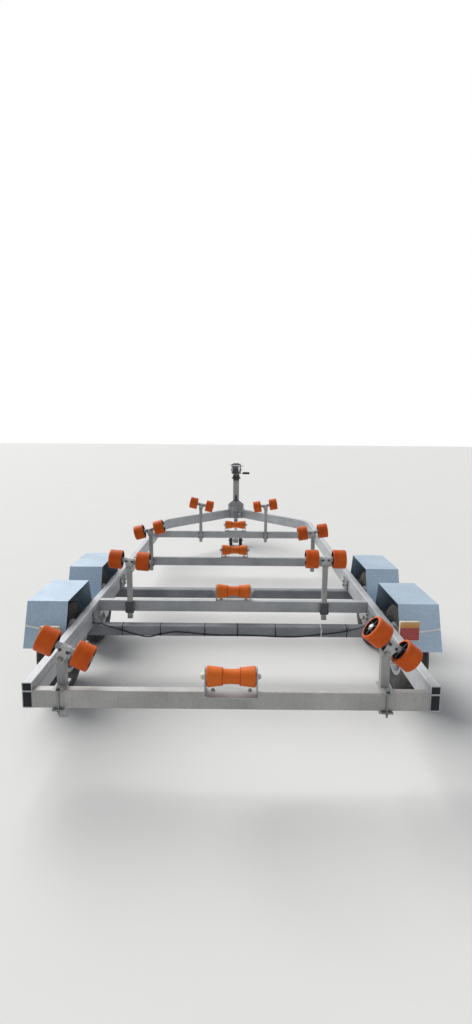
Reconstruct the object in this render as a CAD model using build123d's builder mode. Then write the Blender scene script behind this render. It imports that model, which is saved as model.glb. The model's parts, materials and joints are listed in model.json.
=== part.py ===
"""Tandem boat trailer with keel rollers and tilting side roller pairs. Millimetres.

X to the right, Y towards the coupling, Z up from the ground.
Places along the trailer are counted from the rear face of the side rails.
"""
import os
from math import atan, cos, radians, sin, tan

from build123d import *

os.makedirs("parts", exist_ok=True)

# Overall reach, and the small gaps between pieces
tail_reach = 70.0
nose_reach = 6930.0
rear_y = -(nose_reach - tail_reach) / 2
seat_gap = 0.3
running_fit = 0.05

# Side rails: a two-celled section
rail_half = 1000.0
rail_w = 50.0
rail_h = 128.0
rail_top = 540.0
rail_corner_r = 5.0
rail_wall = 4.5
rail_upper_cell = 36.0
rail_web = 8.0
groove_depth = 2.0
groove_h = 9.0
rail_pocket = 160.0
bend_angle = 40.0
bend_r = 600.0
nose_len = 979.0
apex_s = nose_reach - nose_len
apex_x = 26.0
rail_bottom = rail_top - rail_h
rail_mid_z = rail_top - rail_h / 2
rail_mid_x = rail_half - rail_w / 2
rail_inner_x = rail_half - rail_w
corner_s = apex_s - (rail_mid_x - apex_x) / tan(radians(bend_angle))

# Crossmembers
rear_member_h = 90.0
rear_member_top = rail_bottom + rear_member_h
beam_d = 50.0
beam_h = 80.0
beam_s = {"mid": 1290.0, "fore_mid": 2630.0, "fore": 3990.0}

# Axles: tube, saddle plates that hold it to the rails, trailing arms and stubs
wheel_s = (1060.0, 1930.0)
wheel_out = 150.0
wheel_x = rail_half + wheel_out
axle_ahead = 130.0
axle_size = 76.0
axle_corner_r = 14.0
saddle_len = 170.0
saddle_h = 100.0
saddle_t = 8.0
saddle_w = 64.0
arm_gap = 10.0
arm_x = rail_half + arm_gap
arm_t = 34.0
arm_root_r = 38.0
arm_end_r = 31.0
stub_r = 20.0
stub_len = 95.0

# Wheels
tyre_r = 297.0
tyre_w = 165.0
tread_r = 290.0
tread_half = 60.0
crown_half = 30.0
shoulder_r = 268.0
sidewall_r = 222.0
bead_half = 57.5
bead_gap = 0.4
rim_r = 165.0
rim_w = 128.0
rim_bead = 10.0
rim_well = 20.0
rim_t = 6.0
rim_holes = 10
rim_hole_r = 10.5
rim_hole_pitch_r = 119.0
disc_x = 38.0
disc_r = 78.0
disc_edge_r = 100.0
cap_r = 30.0
cap_x = 62.0
drum_r = 104.0
drum_back = -98.0
drum_front = -40.0

# Mudguards, stays and lamps
guard_gap = 22.0
guard_inner_x = rail_half + guard_gap
guard_w = 252.0
guard_top = 680.0
guard_len = 480.0
guard_low = 413.0
guard_slope = 106.0
guard_t = 2.5
stay_w = 36.0
stay_t = 6.0
stay_z = 448.0
stay_rise = 62.0
stay_short = 12.0
lamp_w = 120.0
lamp_h = 118.0
lamp_d = 30.0
lamp_table = [
    # side, distance out from the rail's face, place of the lens, height of the middle
    (-1, 101.0, 678.0, 502.0),
    (1, 66.0, 696.0, 547.0),
]
lamp_corner_r = 9.0
lens_d = 14.0
lens_rim = 4.0
lamp_seat = 50.0
lamp_seat_top = 30.0
lead_r = 4.5
lead_low = 516.0
lead_high = 539.0
lead_margin = 10.0
grommet_r = 8.0
grommet_h = 10.0

# Roller pairs on their posts
pair_table = [
    # name, crossmember that carries the post, post x, height of the tilt pin, rest tilt, post's end below
    ("rear_left", "rear", -826.0, 638.0, 24.0, 75.0),
    ("rear_right", "rear", 745.0, 682.0, 39.0, 42.0),
    ("mid_left", "mid", -728.0, 784.0, 4.5, 42.0),
    ("mid_right", "mid", 638.0, 804.0, 0.0, 42.0),
    ("fore_mid_left", "fore_mid", -788.0, 757.0, -15.0, 42.0),
    ("fore_mid_right", "fore_mid", 735.0, 747.0, -8.0, 42.0),
    ("fore_left", "fore", -410.0, 813.0, 12.0, 42.0),
    ("fore_right", "fore", 359.0, 808.0, -9.5, 42.0),
]
post_side = {"rear": 43.0, "mid": 35.0, "fore_mid": 35.0, "fore": 35.0}
post_corner_r = 4.0
post_rise = 12.0
pin_r = 8.0
pin_end = 8.0
clamp_t = 6.0
clamp_w = 56.0
clamp_reach = 24.0
clamp_margin = 11.0
stud_r = 5.0
stud_end = 30.0
shank_r = 4.0
shank_rise = 26.0
rocker_side = 1.5
rocker_t = 6.0
rocker_half = 28.0
rocker_foot = 19.0
rocker_drop = 18.0
rocker_rise = 8.0
rocker_block = 14.0
shaft_lift = 50.0
shaft_r = 9.95
collar_r = 17.0
collar_gap = 2.0
roller_r = 65.0
roller_w = 88.0
roller_off = 94.0
roller_bore_r = 10.0
roller_edge = 5.0
hub_r = 21.0
hub_inset = 3.0
recess_r = 53.0
recess_depth = 16.0

# Keel rollers
keel_table = [
    # crossmember, place of the spindle ahead of its rear face, height of the spindle
    ("rear", -15.0, 588.0),
    ("mid", 10.0, 610.0),
    ("fore_mid", 10.0, 612.0),
    ("fore", 10.0, 620.0),
]
keel_len = 232.0
keel_end_r = 50.0
keel_joint_r = 41.5
keel_waist_r = 37.0
keel_mid_r = 34.5
keel_mid_half = 40.0
keel_edge = 5.0
keel_spindle_r = 9.0
keel_gap = 3.0
keel_plate = 6.0
keel_ear = 46.0
keel_lip = 18.0

# Nose plates, drawbar and overrun coupling
plate_t = 8.0
plate_half = 124.0
plate_tip = 60.0
nose_overlap = 101.0
nose_back = apex_s - nose_overlap
nose_web = 6.0
bar_w = 70.0
bar_corner_r = 6.0
bar_short = 510.0
bar_front = nose_reach - bar_short
bar_inset = 69.0
bar_back = apex_s + bar_inset
flange_t = 14.0
flange_w = 94.0
flange_h = 116.0
coupling_z = 476.0
housing_r = 38.0
head_reach = 340.0
housing_front = nose_reach - head_reach
bellows_len = 110.0
bellows_pitch = 28.0
bellows_valley_r = 30.0
ball_inset = 75.0
ball_s = nose_reach - ball_inset
ball_r = 25.0
ball_gap = 0.5
socket_depth = 36.0
head_w = 56.0
head_h = 58.0
cup_r = 44.0
cup_low = 34.0
cup_h = 72.0
handle_w = 18.0
brake_inset = 430.0
brake_s = nose_reach - brake_inset
lever_len = 244.0
brake_rise = 74.0
brake_pin_r = 8.0
brake_plate = 8.0

# Winch post, bow stop and winch
post_w = 90.0
post_d = 60.0
post_top = 1236.0
post_flange = 236.0
post_foot_len = 180.0
gusset_rise = 60.0
gusset_top = 118.0
brace_ahead = 275.0
brace_w = 50.0
brace_drop = 220.0
brace_depth = 55.0
brace_foot_w = 64.0
brace_foot_len = 120.0
winch_ahead = 34.0
winch_s = apex_s + winch_ahead
winch_z = 1150.0
stop_z = 1020.0
stop_back = 150.0
stop_half = 44.0
stop_r = 46.0
stop_mid_r = 30.0
stop_pin_r = 8.0
winch_w = 140.0
winch_h = 150.0
winch_plate = 5.0
drum_back_s = 110.0
drum_drop = 8.0
drum_pin_r = 9.0
drum_core_r = 38.0
drum_half = 60.0
gear_r = 48.0
pinion_r = 11.7
pinion_w = 12.0
crank_r = 8.0
crank_s = winch_s - 88.0
crank_z = winch_z + 47.8
grip_r = 15.0
grip_len = 104.0

# Nose wheel: twin wheels on a telescopic leg
jockey_behind = 60.0
jockey_s = nose_back - jockey_behind
jockey_r = 80.0
jockey_w = 50.0
jockey_gap = 95.0
jockey_trail = 45.0
jockey_axle_r = 8.0
jockey_recess = 12.0
tube_r = 28.0
tube_low = 300.0
tube_high = 690.0
tube_cap = 12.0
leg_r = 22.0
leg_low = 150.0
leg_high = 520.0
carriage_w = 76.0
carriage_low = 40.0
crank_arm = 110.0
crank_grip = 64.0

# Lamp wiring along the rear axle: cable radius, and how far its middle stands off the tube
cable_r = 4.0
cable_off = cable_r + 0.5
cable_points = [
    # x, place behind the axle's rear face, z
    (-949.7, 62.0, 442.0), (-900.0, 62.0, 442.0), (-842.0, 36.0, 408.0), (-762.0, cable_off, 372.0),
    (-668.0, cable_off, 340.0), (-580.0, cable_off, 323.0), (-500.0, cable_off, 345.0),
    (-410.0, cable_off, 364.0), (-305.0, cable_off, 358.0), (-195.0, cable_off, 346.0),
    (-85.0, cable_off, 341.0), (30.0, cable_off, 344.0), (145.0, cable_off, 341.0),
    (260.0, cable_off, 335.0), (375.0, cable_off, 332.0), (485.0, cable_off, 336.0),
    (590.0, cable_off, 352.0), (690.0, cable_off, 362.0), (780.0, cable_off, 378.0),
    (848.0, 34.0, 410.0), (902.0, 61.0, 444.0), (949.7, 61.0, 444.0),
]


def at(s):
    """Turn a place counted from the rail's rear face into Y."""
    return rear_y + s


def member_s(member):
    """Place along of a crossmember's rear face."""
    return 0.0 if member == "rear" else beam_s[member]


def post_place(member):
    """Place along of a post: ahead of the rear crossmember, behind the other beams."""
    half = post_side[member] / 2
    return beam_d + half if member == "rear" else beam_s[member] - half


def guard_face_place(s, z):
    """Place along of the slanted rear face at a height, on the mudguard of the wheel at s."""
    return s - guard_len / 2 - guard_slope * (guard_top - z) / (guard_top - guard_low)


def guard_face(z):
    """Place along of the rear mudguard's slanted rear face at a height."""
    return guard_face_place(wheel_s[0], z)


def tilted(x, y, z, tilt):
    """Plane through the tilt pin with X along the tilted shaft and Z along Y."""
    a = radians(tilt)
    return Plane(origin=(x, y, z), x_dir=(cos(a), 0, -sin(a)), z_dir=(0, 1, 0))


# Side rails, bent in to the nose
upper_cell_z = rail_top - rail_wall - rail_upper_cell / 2
web_z = rail_top - rail_wall - rail_upper_cell - rail_web / 2
lower_cell = rail_h - 2 * rail_wall - rail_upper_cell - rail_web
for side, name in ((-1, "rail_left"), (1, "rail_right")):
    with BuildPart() as rail:
        with BuildLine() as rail_path:
            FilletPolyline(
                (side * rail_mid_x, at(0), rail_mid_z),
                (side * rail_mid_x, at(corner_s), rail_mid_z),
                (side * apex_x, at(apex_s), rail_mid_z),
                radius=bend_r,
            )
        end_plane = Plane(origin=(side * rail_mid_x, at(0), rail_mid_z), x_dir=(1, 0, 0), z_dir=(0, 1, 0))
        with BuildSketch(end_plane):
            RectangleRounded(rail_w, rail_h, rail_corner_r)
            # Shallow groove in both faces, level with the web
            with Locations((rail_w / 2, rail_mid_z - web_z), (-rail_w / 2, rail_mid_z - web_z)):
                Rectangle(2 * groove_depth, groove_h, mode=Mode.SUBTRACT)
        sweep()
        # Open cells at the rear end
        with BuildSketch(end_plane):
            with Locations((0, rail_mid_z - upper_cell_z)):
                Rectangle(rail_w - 2 * rail_wall, rail_upper_cell)
            with Locations((0, rail_h / 2 - rail_wall - lower_cell / 2)):
                Rectangle(rail_w - 2 * rail_wall, lower_cell)
        extrude(amount=rail_pocket, mode=Mode.SUBTRACT)
        # Mitre at the nose, where the other rail meets this one
        with BuildSketch(Plane.XY.offset(rail_bottom - 1)):
            with Locations((-side * (seat_gap + rail_half) / 2, at(apex_s))):
                Rectangle(rail_half - seat_gap, rail_half)
        extrude(amount=rail_h + 2, mode=Mode.SUBTRACT)
    rail.part.label = name
    export_step(rail.part, f"parts/{name}.step")

# Rear crossmember between the rails
with BuildPart() as rear_crossmember:
    with BuildSketch(Plane.YZ.offset(-rail_inner_x)):
        with Locations((at(beam_d / 2), rail_bottom + rear_member_h / 2)):
            RectangleRounded(beam_d, rear_member_h, rail_corner_r)
    extrude(amount=2 * rail_inner_x)
rear_crossmember.part.label = "rear_crossmember"
export_step(rear_crossmember.part, "parts/rear_crossmember.step")

# Three crossbeams, level with the rail tops
with BuildPart() as crossbeams:
    for place in beam_s.values():
        with BuildSketch(Plane.YZ.offset(-rail_inner_x)):
            with Locations((at(place + beam_d / 2), rail_top - beam_h / 2)):
                RectangleRounded(beam_d, beam_h, rail_corner_r)
        extrude(amount=2 * rail_inner_x)
crossbeams.part.label = "crossbeams"
export_step(crossbeams.part, "parts/crossbeams.step")

# Torsion axles: tube, saddle plates on the rails, trailing arms and stub axles
axle_top = rail_bottom - saddle_t
axle_z = axle_top - axle_size / 2
for s, name in ((wheel_s[0], "rear_axle"), (wheel_s[1], "front_axle")):
    tube_y = at(s + axle_ahead)
    with BuildPart() as axle:
        with BuildSketch(Plane.YZ.offset(-arm_x)):
            with Locations((tube_y, axle_z)):
                RectangleRounded(axle_size, axle_size, axle_corner_r)
        extrude(amount=2 * arm_x)
        for side in (-1, 1):
            # Saddle: a plate against the rail's inner face and a pad under the rail
            with BuildSketch(Plane.YZ.offset(side * (rail_inner_x - seat_gap))):
                with Locations((tube_y, axle_top - 1 + saddle_h / 2)):
                    Rectangle(saddle_len, saddle_h)
            extrude(amount=-side * saddle_t)
            with BuildSketch(Plane.XY.offset(axle_top - 1)):
                with Locations((side * (rail_inner_x - saddle_t + saddle_w / 2), tube_y)):
                    Rectangle(saddle_w, saddle_len)
            extrude(amount=saddle_t + 1 - seat_gap)
            # Arm from the tube back and down to the wheel centre
            with BuildSketch(Plane.YZ.offset(side * arm_x)):
                with Locations((tube_y, axle_z)):
                    Circle(arm_root_r)
                with Locations((at(s), tyre_r)):
                    Circle(arm_end_r)
                make_hull()
            extrude(amount=side * arm_t)
            with BuildSketch(Plane.YZ.offset(side * (arm_x + arm_t))):
                with Locations((at(s), tyre_r)):
                    Circle(stub_r)
            extrude(amount=side * stub_len)
    axle.part.label = name
    export_step(axle.part, f"parts/{name}.step")

# Road wheels: pressed disc rim with drum and hub, and a plain tyre
rim_half = rim_w / 2
well_r = rim_r - rim_well
for s, row in ((wheel_s[0], "rear"), (wheel_s[1], "front")):
    for side, hand in ((-1, "left"), (1, "right")):
        wheel_plane = Plane(origin=(side * wheel_x, at(s), tyre_r), x_dir=(side, 0, 0), z_dir=(0, -side, 0))
        wheel_axis = Axis((0, at(s), tyre_r), (1, 0, 0))
        with BuildPart() as rim:
            with BuildSketch(wheel_plane):
                with BuildLine():
                    Polyline(
                        # Outer side of the barrel, from the inner bead to the outer one
                        (-rim_half, rim_r - 14), (-rim_half, rim_r + rim_bead),
                        (-rim_half + 6, rim_r + rim_bead), (-rim_half + 10, rim_r),
                        (-rim_half + 36, rim_r - 4), (-rim_half + 44, well_r),
                        (rim_half - 44, well_r), (rim_half - 36, rim_r - 4),
                        (rim_half - 10, rim_r), (rim_half - 6, rim_r + rim_bead),
                        (rim_half, rim_r + rim_bead), (rim_half, rim_r - 8),
                        # Disc face in to the hub cap, and the stub's bore
                        (disc_x - 8, well_r - rim_t), (disc_x - 16, disc_edge_r), (disc_x, disc_r),
                        (disc_x, cap_r + 4), (cap_x, cap_r), (cap_x, 0), (10, 0),
                        (10, stub_r + running_fit), (drum_back, stub_r + running_fit),
                        # Drum, and the disc's back out to the barrel
                        (drum_back, drum_r - 4), (drum_front, drum_r), (drum_front + 12, drum_r - 8),
                        (12, 88), (18, well_r - 4), (-rim_half + 30, well_r - rim_t), close=True,
                    )
                make_face()
            revolve(axis=wheel_axis)
            hole_plane = Plane(origin=(side * (wheel_x + disc_x), at(s), tyre_r), z_dir=(side, 0, 0))
            with BuildSketch(hole_plane):
                with PolarLocations(rim_hole_pitch_r, rim_holes):
                    Circle(rim_hole_r)
            extrude(amount=-24.0, mode=Mode.SUBTRACT)
        rim.part.label = f"rim_{row}_{hand}"
        export_step(rim.part, f"parts/rim_{row}_{hand}.step")
        with BuildPart() as tyre:
            with BuildSketch(wheel_plane):
                with BuildLine():
                    Polyline(
                        (-bead_half + 4, rim_r + bead_gap), (-bead_half, rim_r + rim_bead + bead_gap),
                        (-tyre_w / 2, sidewall_r), (-tyre_w / 2 + 5, shoulder_r),
                        (-tread_half, tread_r), (-crown_half, tyre_r),
                        (crown_half, tyre_r), (tread_half, tread_r),
                        (tyre_w / 2 - 5, shoulder_r), (tyre_w / 2, sidewall_r),
                        (bead_half, rim_r + rim_bead + bead_gap), (bead_half - 4, rim_r + bead_gap),
                        close=True,
                    )
                make_face()
            revolve(axis=wheel_axis)
        tyre.part.label = f"tyre_{row}_{hand}"
        export_step(tyre.part, f"parts/tyre_{row}_{hand}.step")
print("rails, axles and wheels")

# Mudguards: folded sheet with slanted ends, open towards the rail
for side, name in ((-1, "mudguards_left"), (1, "mudguards_right")):
    with BuildPart() as guards:
        for s in wheel_s:
            half = guard_len / 2
            with BuildSketch(Plane.YZ.offset(side * guard_inner_x)):
                with BuildLine():
                    Polyline(
                        (at(s - half - guard_slope), guard_low), (at(s - half), guard_top),
                        (at(s + half), guard_top), (at(s + half + guard_slope), guard_low), close=True,
                    )
                make_face()
            extrude(amount=side * guard_w)
            # The hollow, a wall thinner on the ends and the top
            end_t = guard_t * 1.08
            with BuildSketch(Plane.YZ.offset(side * (guard_inner_x - 40))):
                with BuildLine():
                    Polyline(
                        (at(s - half - guard_slope + end_t), guard_low),
                        (at(s - half + end_t * 0.6), guard_top - guard_t),
                        (at(s + half - end_t * 0.6), guard_top - guard_t),
                        (at(s + half + guard_slope - end_t), guard_low), close=True,
                    )
                make_face()
            extrude(amount=side * (guard_w + 40 - guard_t), mode=Mode.SUBTRACT)
    guards.part.label = name
    export_step(guards.part, f"parts/{name}.step")

# Mudguard stays: a plate on the rail's side and a flat bar out against the inside of each slanted sheet
with BuildPart() as guard_stays:
    for side in (-1, 1):
        root_x = side * (rail_half + seat_gap)
        tip_x = side * (guard_inner_x + guard_w - stay_short)
        for s in wheel_s:
            reach = s - guard_face_place(s, stay_z + stay_t) - guard_t * 1.08 - 2 * seat_gap
            for ahead in (-1, 1):
                mid = s + ahead * (reach - stay_w / 2)
                with BuildSketch(Plane.XZ.offset(-at(mid + stay_w / 2))):
                    with BuildLine():
                        Polyline(
                            (root_x, stay_z), (tip_x, stay_z), (tip_x, stay_z + stay_t),
                            (root_x + side * stay_t, stay_z + stay_t),
                            (root_x + side * stay_t, stay_z + stay_rise), (root_x, stay_z + stay_rise), close=True,
                        )
                    make_face()
                extrude(amount=stay_w)
guard_stays.part.label = "mudguard_stays"
export_step(guard_stays.part, "parts/mudguard_stays.step")

# Tail lamps on the rear mudguards' slanted faces
with BuildPart() as tail_lamps:
    for side, out, lens_s, lamp_z in lamp_table:
        lamp_x = side * (rail_half + out)
        lamp_front = lens_s + lamp_d
        with BuildSketch(Plane.XZ.offset(-at(lamp_front))):
            with Locations((lamp_x, lamp_z)):
                RectangleRounded(lamp_w, lamp_h, lamp_corner_r)
        extrude(amount=lamp_d - lens_d)
        # Wedge that seats the lamp on the slanted sheet
        with BuildSketch(Plane.YZ.offset(lamp_x - lamp_w / 4)):
            with BuildLine():
                Polyline(
                    (at(lamp_front - 2), lamp_z - lamp_seat), (at(lamp_front - 2), lamp_z + lamp_seat_top),
                    (at(guard_face(lamp_z + lamp_seat_top) - 1), lamp_z + lamp_seat_top),
                    (at(guard_face(lamp_z - lamp_seat) - 1), lamp_z - lamp_seat), close=True,
                )
            make_face()
        extrude(amount=lamp_w / 2)
tail_lamps.part.label = "tail_lamps"
export_step(tail_lamps.part, "parts/tail_lamps.step")
with BuildPart() as lamp_lenses:
    for side, out, lens_s, lamp_z in lamp_table:
        with BuildSketch(Plane.XZ.offset(-at(lens_s + lens_d - seat_gap))):
            with Locations((side * (rail_half + out), lamp_z)):
                RectangleRounded(lamp_w - 2 * lens_rim, lamp_h - 2 * lens_rim, lamp_corner_r - 2)
        extrude(amount=lens_d - seat_gap)
lamp_lenses.part.label = "lamp_lenses"
export_step(lamp_lenses.part, "parts/lamp_lenses.step")

# Leads from the lamps out to the mudguards' edges, laid on the slanted faces
lean = atan(guard_slope / (guard_top - guard_low))
with BuildPart() as marker_leads:
    for side, out, lens_s, lamp_z in lamp_table:
        root_x = rail_half + out + lamp_w / 4 + 1
        ends = []
        for x, z in ((root_x, lead_low), (guard_inner_x + guard_w - lead_margin, lead_high)):
            off = lead_r + seat_gap
            ends.append(Vector(side * x, at(guard_face(z) - off * cos(lean)), z + off * sin(lean)))
        with BuildSketch(Plane(origin=ends[0], z_dir=ends[1] - ends[0])):
            Circle(lead_r)
        extrude(amount=(ends[1] - ends[0]).length)
        # Grommet that takes the lead through the sheet
        outward = Vector(0, -cos(lean), sin(lean))
        with BuildSketch(Plane(origin=ends[1] - outward * (lead_r + seat_gap / 2), z_dir=outward)):
            Circle(grommet_r)
        extrude(amount=grommet_h)
marker_leads.part.label = "marker_leads"
export_step(marker_leads.part, "parts/marker_leads.step")

# Roller posts: square tube with a tilt pin through its head
with BuildPart() as roller_posts:
    for name, member, x, pin_z, tilt, tail in pair_table:
        s = post_place(member)
        side = post_side[member]
        low = (rail_bottom if member == "rear" else rail_top - beam_h) - tail
        with BuildSketch(Plane.XY.offset(low)):
            with Locations((x, at(s))):
                RectangleRounded(side, side, post_corner_r)
        extrude(amount=pin_z + post_rise - low)
        pin_half = side / 2 + rocker_side + rocker_t + pin_end
        with BuildSketch(Plane.XZ.offset(-at(s + pin_half))):
            with Locations((x, pin_z)):
                Circle(pin_r)
        extrude(amount=2 * pin_half)
roller_posts.part.label = "roller_posts"
export_step(roller_posts.part, "parts/roller_posts.step")

# Post clamps: plates and studs round the rear crossmember, bolted plates behind the other posts
with BuildPart() as post_clamps:
    for name, member, x, pin_z, tilt, tail in pair_table:
        s = post_place(member)
        side = post_side[member]
        if member == "rear":
            back = -2 * stud_r - 10
            front = s + side / 2 + clamp_reach
            for z in (rear_member_top + seat_gap, rail_bottom - seat_gap - clamp_t):
                with BuildSketch(Plane.XY.offset(z)):
                    with Locations((x, at((back + front) / 2))):
                        Rectangle(clamp_w, front - back)
                    with Locations((x, at(s))):
                        Rectangle(side + 2 * seat_gap, side + 2 * seat_gap, mode=Mode.SUBTRACT)
                extrude(amount=clamp_t)
            for stud_s in (-stud_r - 0.5, s + side / 2 + clamp_reach - 2 * stud_r):
                with BuildSketch(Plane.XY.offset(rail_bottom - stud_end)):
                    with Locations((x, at(stud_s))):
                        Circle(stud_r)
                extrude(amount=rear_member_h + 2 * stud_end)
        else:
            with BuildSketch(Plane.XZ.offset(-at(s - side / 2 - seat_gap))):
                with Locations((x, rail_top - beam_h / 2)):
                    Rectangle(side + 2 * clamp_margin, beam_h)
            extrude(amount=clamp_t)
            # Bolt shanks beside the post, from the plate to the beam's face
            with BuildSketch(Plane.XZ.offset(-at(s + side / 2 - seat_gap))):
                with Locations((x, rail_top - beam_h / 2)):
                    with GridLocations(side + 1.1 * clamp_margin, 2 * shank_rise, 2, 2):
                        Circle(shank_r)
            extrude(amount=side)
post_clamps.part.label = "post_clamps"
export_step(post_clamps.part, "parts/post_clamps.step")

# Rockers that straddle the posts, and their twin rollers
shaft_half = roller_off + roller_w / 2 + hub_inset
collar_half = roller_off - roller_w / 2 - collar_gap
for name, member, x, pin_z, tilt, tail in pair_table:
    base = tilted(x, at(post_place(member)), pin_z, tilt)
    centre = base.from_local_coords((0, -shaft_lift, 0))
    cheek_in = post_side[member] / 2 + rocker_side
    with BuildPart() as rocker:
        for face in (-cheek_in - rocker_t, cheek_in):
            with BuildSketch(base.offset(face)):
                with BuildLine():
                    Polyline(
                        (-rocker_foot + 6, rocker_drop), (rocker_foot - 6, rocker_drop),
                        (rocker_foot, rocker_drop - 8), (rocker_half, -shaft_lift + rocker_block),
                        (rocker_half, -shaft_lift - rocker_rise), (-rocker_half, -shaft_lift - rocker_rise),
                        (-rocker_half, -shaft_lift + rocker_block), (-rocker_foot, rocker_drop - 8), close=True,
                    )
                make_face()
                Circle(pin_r + running_fit, mode=Mode.SUBTRACT)
            extrude(amount=rocker_t)
        # Saddle that joins the two cheeks over the post's head
        with BuildSketch(base.offset(-cheek_in - rocker_t)):
            with Locations((0, -shaft_lift + (rocker_block - rocker_rise) / 2)):
                Rectangle(2 * rocker_half, rocker_block + rocker_rise)
        extrude(amount=2 * (cheek_in + rocker_t))
        shaft_plane = Plane(origin=centre, x_dir=(0, 1, 0), z_dir=base.x_dir)
        with BuildSketch(shaft_plane):
            Circle(shaft_r)
        extrude(amount=shaft_half, both=True)
        with BuildSketch(shaft_plane):
            Circle(collar_r)
        extrude(amount=collar_half, both=True)
    rocker.part.label = f"rocker_{name}"
    export_step(rocker.part, f"parts/rocker_{name}.step")
    with BuildPart() as pair:
        for end in (-1, 1):
            # Roller's section: hub, recessed web and tyre, the same at both faces
            inner = roller_off - roller_w / 2
            outer = roller_off + roller_w / 2
            with BuildSketch(Plane(origin=centre, x_dir=base.x_dir * end, z_dir=(0, -end, 0))):
                with BuildLine():
                    Polyline(
                        (inner + hub_inset, roller_bore_r), (inner + hub_inset, hub_r),
                        (inner + recess_depth, hub_r + 3), (inner + recess_depth, recess_r - 3),
                        (inner, recess_r), (inner, roller_r - roller_edge), (inner + 4, roller_r),
                        (outer - 4, roller_r), (outer, roller_r - roller_edge), (outer, recess_r),
                        (outer - recess_depth, recess_r - 3), (outer - recess_depth, hub_r + 3),
                        (outer - hub_inset, hub_r), (outer - hub_inset, roller_bore_r), close=True,
                    )
                make_face()
            revolve(axis=Axis(centre, base.x_dir))
    pair.part.label = f"roller_pair_{name}"
    export_step(pair.part, f"parts/roller_pair_{name}.step")
print("roller pairs")

# Keel rollers, waisted, each on a spindle in its own bracket
keel_half = keel_len / 2
for name, ahead, z in keel_table:
    s = member_s(name) + ahead
    with BuildPart() as keel:
        with BuildSketch(Plane(origin=(0, at(s), z), x_dir=(1, 0, 0), z_dir=(0, -1, 0))):
            with BuildLine():
                # Two tapered ends and a slimmer, slightly hollow middle
                bore = keel_spindle_r + running_fit
                Polyline(
                    (-keel_mid_half, keel_waist_r), (-keel_mid_half, keel_joint_r),
                    (-keel_half + keel_edge, keel_end_r), (-keel_half, keel_end_r - keel_edge),
                    (-keel_half, bore), (keel_half, bore), (keel_half, keel_end_r - keel_edge),
                    (keel_half - keel_edge, keel_end_r), (keel_mid_half, keel_joint_r),
                    (keel_mid_half, keel_waist_r),
                )
                ThreePointArc((-keel_mid_half, keel_waist_r), (0, keel_mid_r),
                              (keel_mid_half, keel_waist_r))
            make_face()
        revolve(axis=Axis((0, at(s), z), (1, 0, 0)))
    keel.part.label = f"keel_roller_{name}"
    export_step(keel.part, f"parts/keel_roller_{name}.step")

keel_reach = keel_half + keel_gap
foot_w = 2 * (keel_reach + keel_plate)
with BuildPart() as keel_brackets:
    for name, ahead, z in keel_table:
        s = member_s(name) + ahead
        foot_back = -tail_reach if name == "rear" else beam_s[name]
        foot_front = beam_d / 2 if name == "rear" else beam_s[name] + beam_d - 2
        foot_z = (rear_member_top if name == "rear" else rail_top) + seat_gap
        with BuildSketch(Plane.XY.offset(foot_z)):
            with Locations((0, at((foot_back + foot_front) / 2))):
                Rectangle(foot_w, foot_front - foot_back)
        extrude(amount=keel_plate)
        if name == "rear":
            # Lip down the crossmember's rear face
            with BuildSketch(Plane.XZ.offset(-at(-seat_gap))):
                with Locations((0, foot_z + keel_plate - keel_lip)):
                    Rectangle(foot_w, 2 * keel_lip)
            extrude(amount=4.0)
        back = -tail_reach if name == "rear" else s - 32
        front = s + 40 if name == "rear" else s + 32
        heel = 20 if name == "rear" else 0
        for side in (-1, 1):
            with BuildSketch(Plane.YZ.offset(side * keel_reach)):
                with BuildLine():
                    Polyline(
                        (at(back + heel), foot_z), (at(front), foot_z), (at(front - 4), z - 20),
                        (at(s + 26), z + keel_ear - 14), (at(s + 14), z + keel_ear),
                        (at(s - 14), z + keel_ear), (at(s - 26), z + keel_ear - 14),
                        (at(back), z - 20), close=True,
                    )
                make_face()
            extrude(amount=side * keel_plate)
        with BuildSketch(Plane.YZ):
            with Locations((at(s), z)):
                Circle(keel_spindle_r)
        extrude(amount=keel_reach + keel_plate + 8, both=True)
keel_brackets.part.label = "keel_brackets"
export_step(keel_brackets.part, "parts/keel_brackets.step")

# Nose plates that tie the rails to the drawbar tube, with a web across the inside of the V
slant = tan(radians(bend_angle))
web_half = (apex_s - nose_back) * slant + apex_x - rail_w / 2 / cos(radians(bend_angle)) - 4
plate_front = apex_s + 120
with BuildPart() as nose_plates:
    with BuildSketch(Plane.XY.offset(rail_top + seat_gap)):
        with BuildLine():
            Polyline(
                (-plate_half, at(nose_back - nose_web)), (plate_half, at(nose_back - nose_web)),
                (plate_half, at(nose_back + 70)), (plate_tip, at(plate_front)),
                (-plate_tip, at(plate_front)), (-plate_half, at(nose_back + 70)), close=True,
            )
        make_face()
    extrude(amount=plate_t)
    with BuildSketch(Plane.XY.offset(rail_bottom - seat_gap - plate_t)):
        with BuildLine():
            Polyline(
                (-plate_half, at(nose_back - nose_web)), (plate_half, at(nose_back - nose_web)),
                (plate_tip, at(plate_front)), (-plate_tip, at(plate_front)), close=True,
            )
        make_face()
    extrude(amount=plate_t)
    with BuildSketch(Plane.XZ.offset(-at(nose_back))):
        with Locations((0, rail_mid_z)):
            Rectangle(2 * web_half, rail_h + 2 * seat_gap)
    extrude(amount=nose_web)
nose_plates.part.label = "nose_plates"
export_step(nose_plates.part, "parts/nose_plates.step")

with BuildPart() as drawbar:
    with BuildSketch(Plane.XZ.offset(-at(bar_front))):
        with Locations((0, coupling_z)):
            RectangleRounded(bar_w, 2 * (rail_top - coupling_z) - 0.2, bar_corner_r)
    extrude(amount=bar_front - bar_back)
    with BuildSketch(Plane.XZ.offset(-at(bar_front))):
        with Locations((0, coupling_z)):
            RectangleRounded(flange_w, flange_h, rail_corner_r)
    extrude(amount=flange_t)
drawbar.part.label = "drawbar"
export_step(drawbar.part, "parts/drawbar.step")

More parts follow.
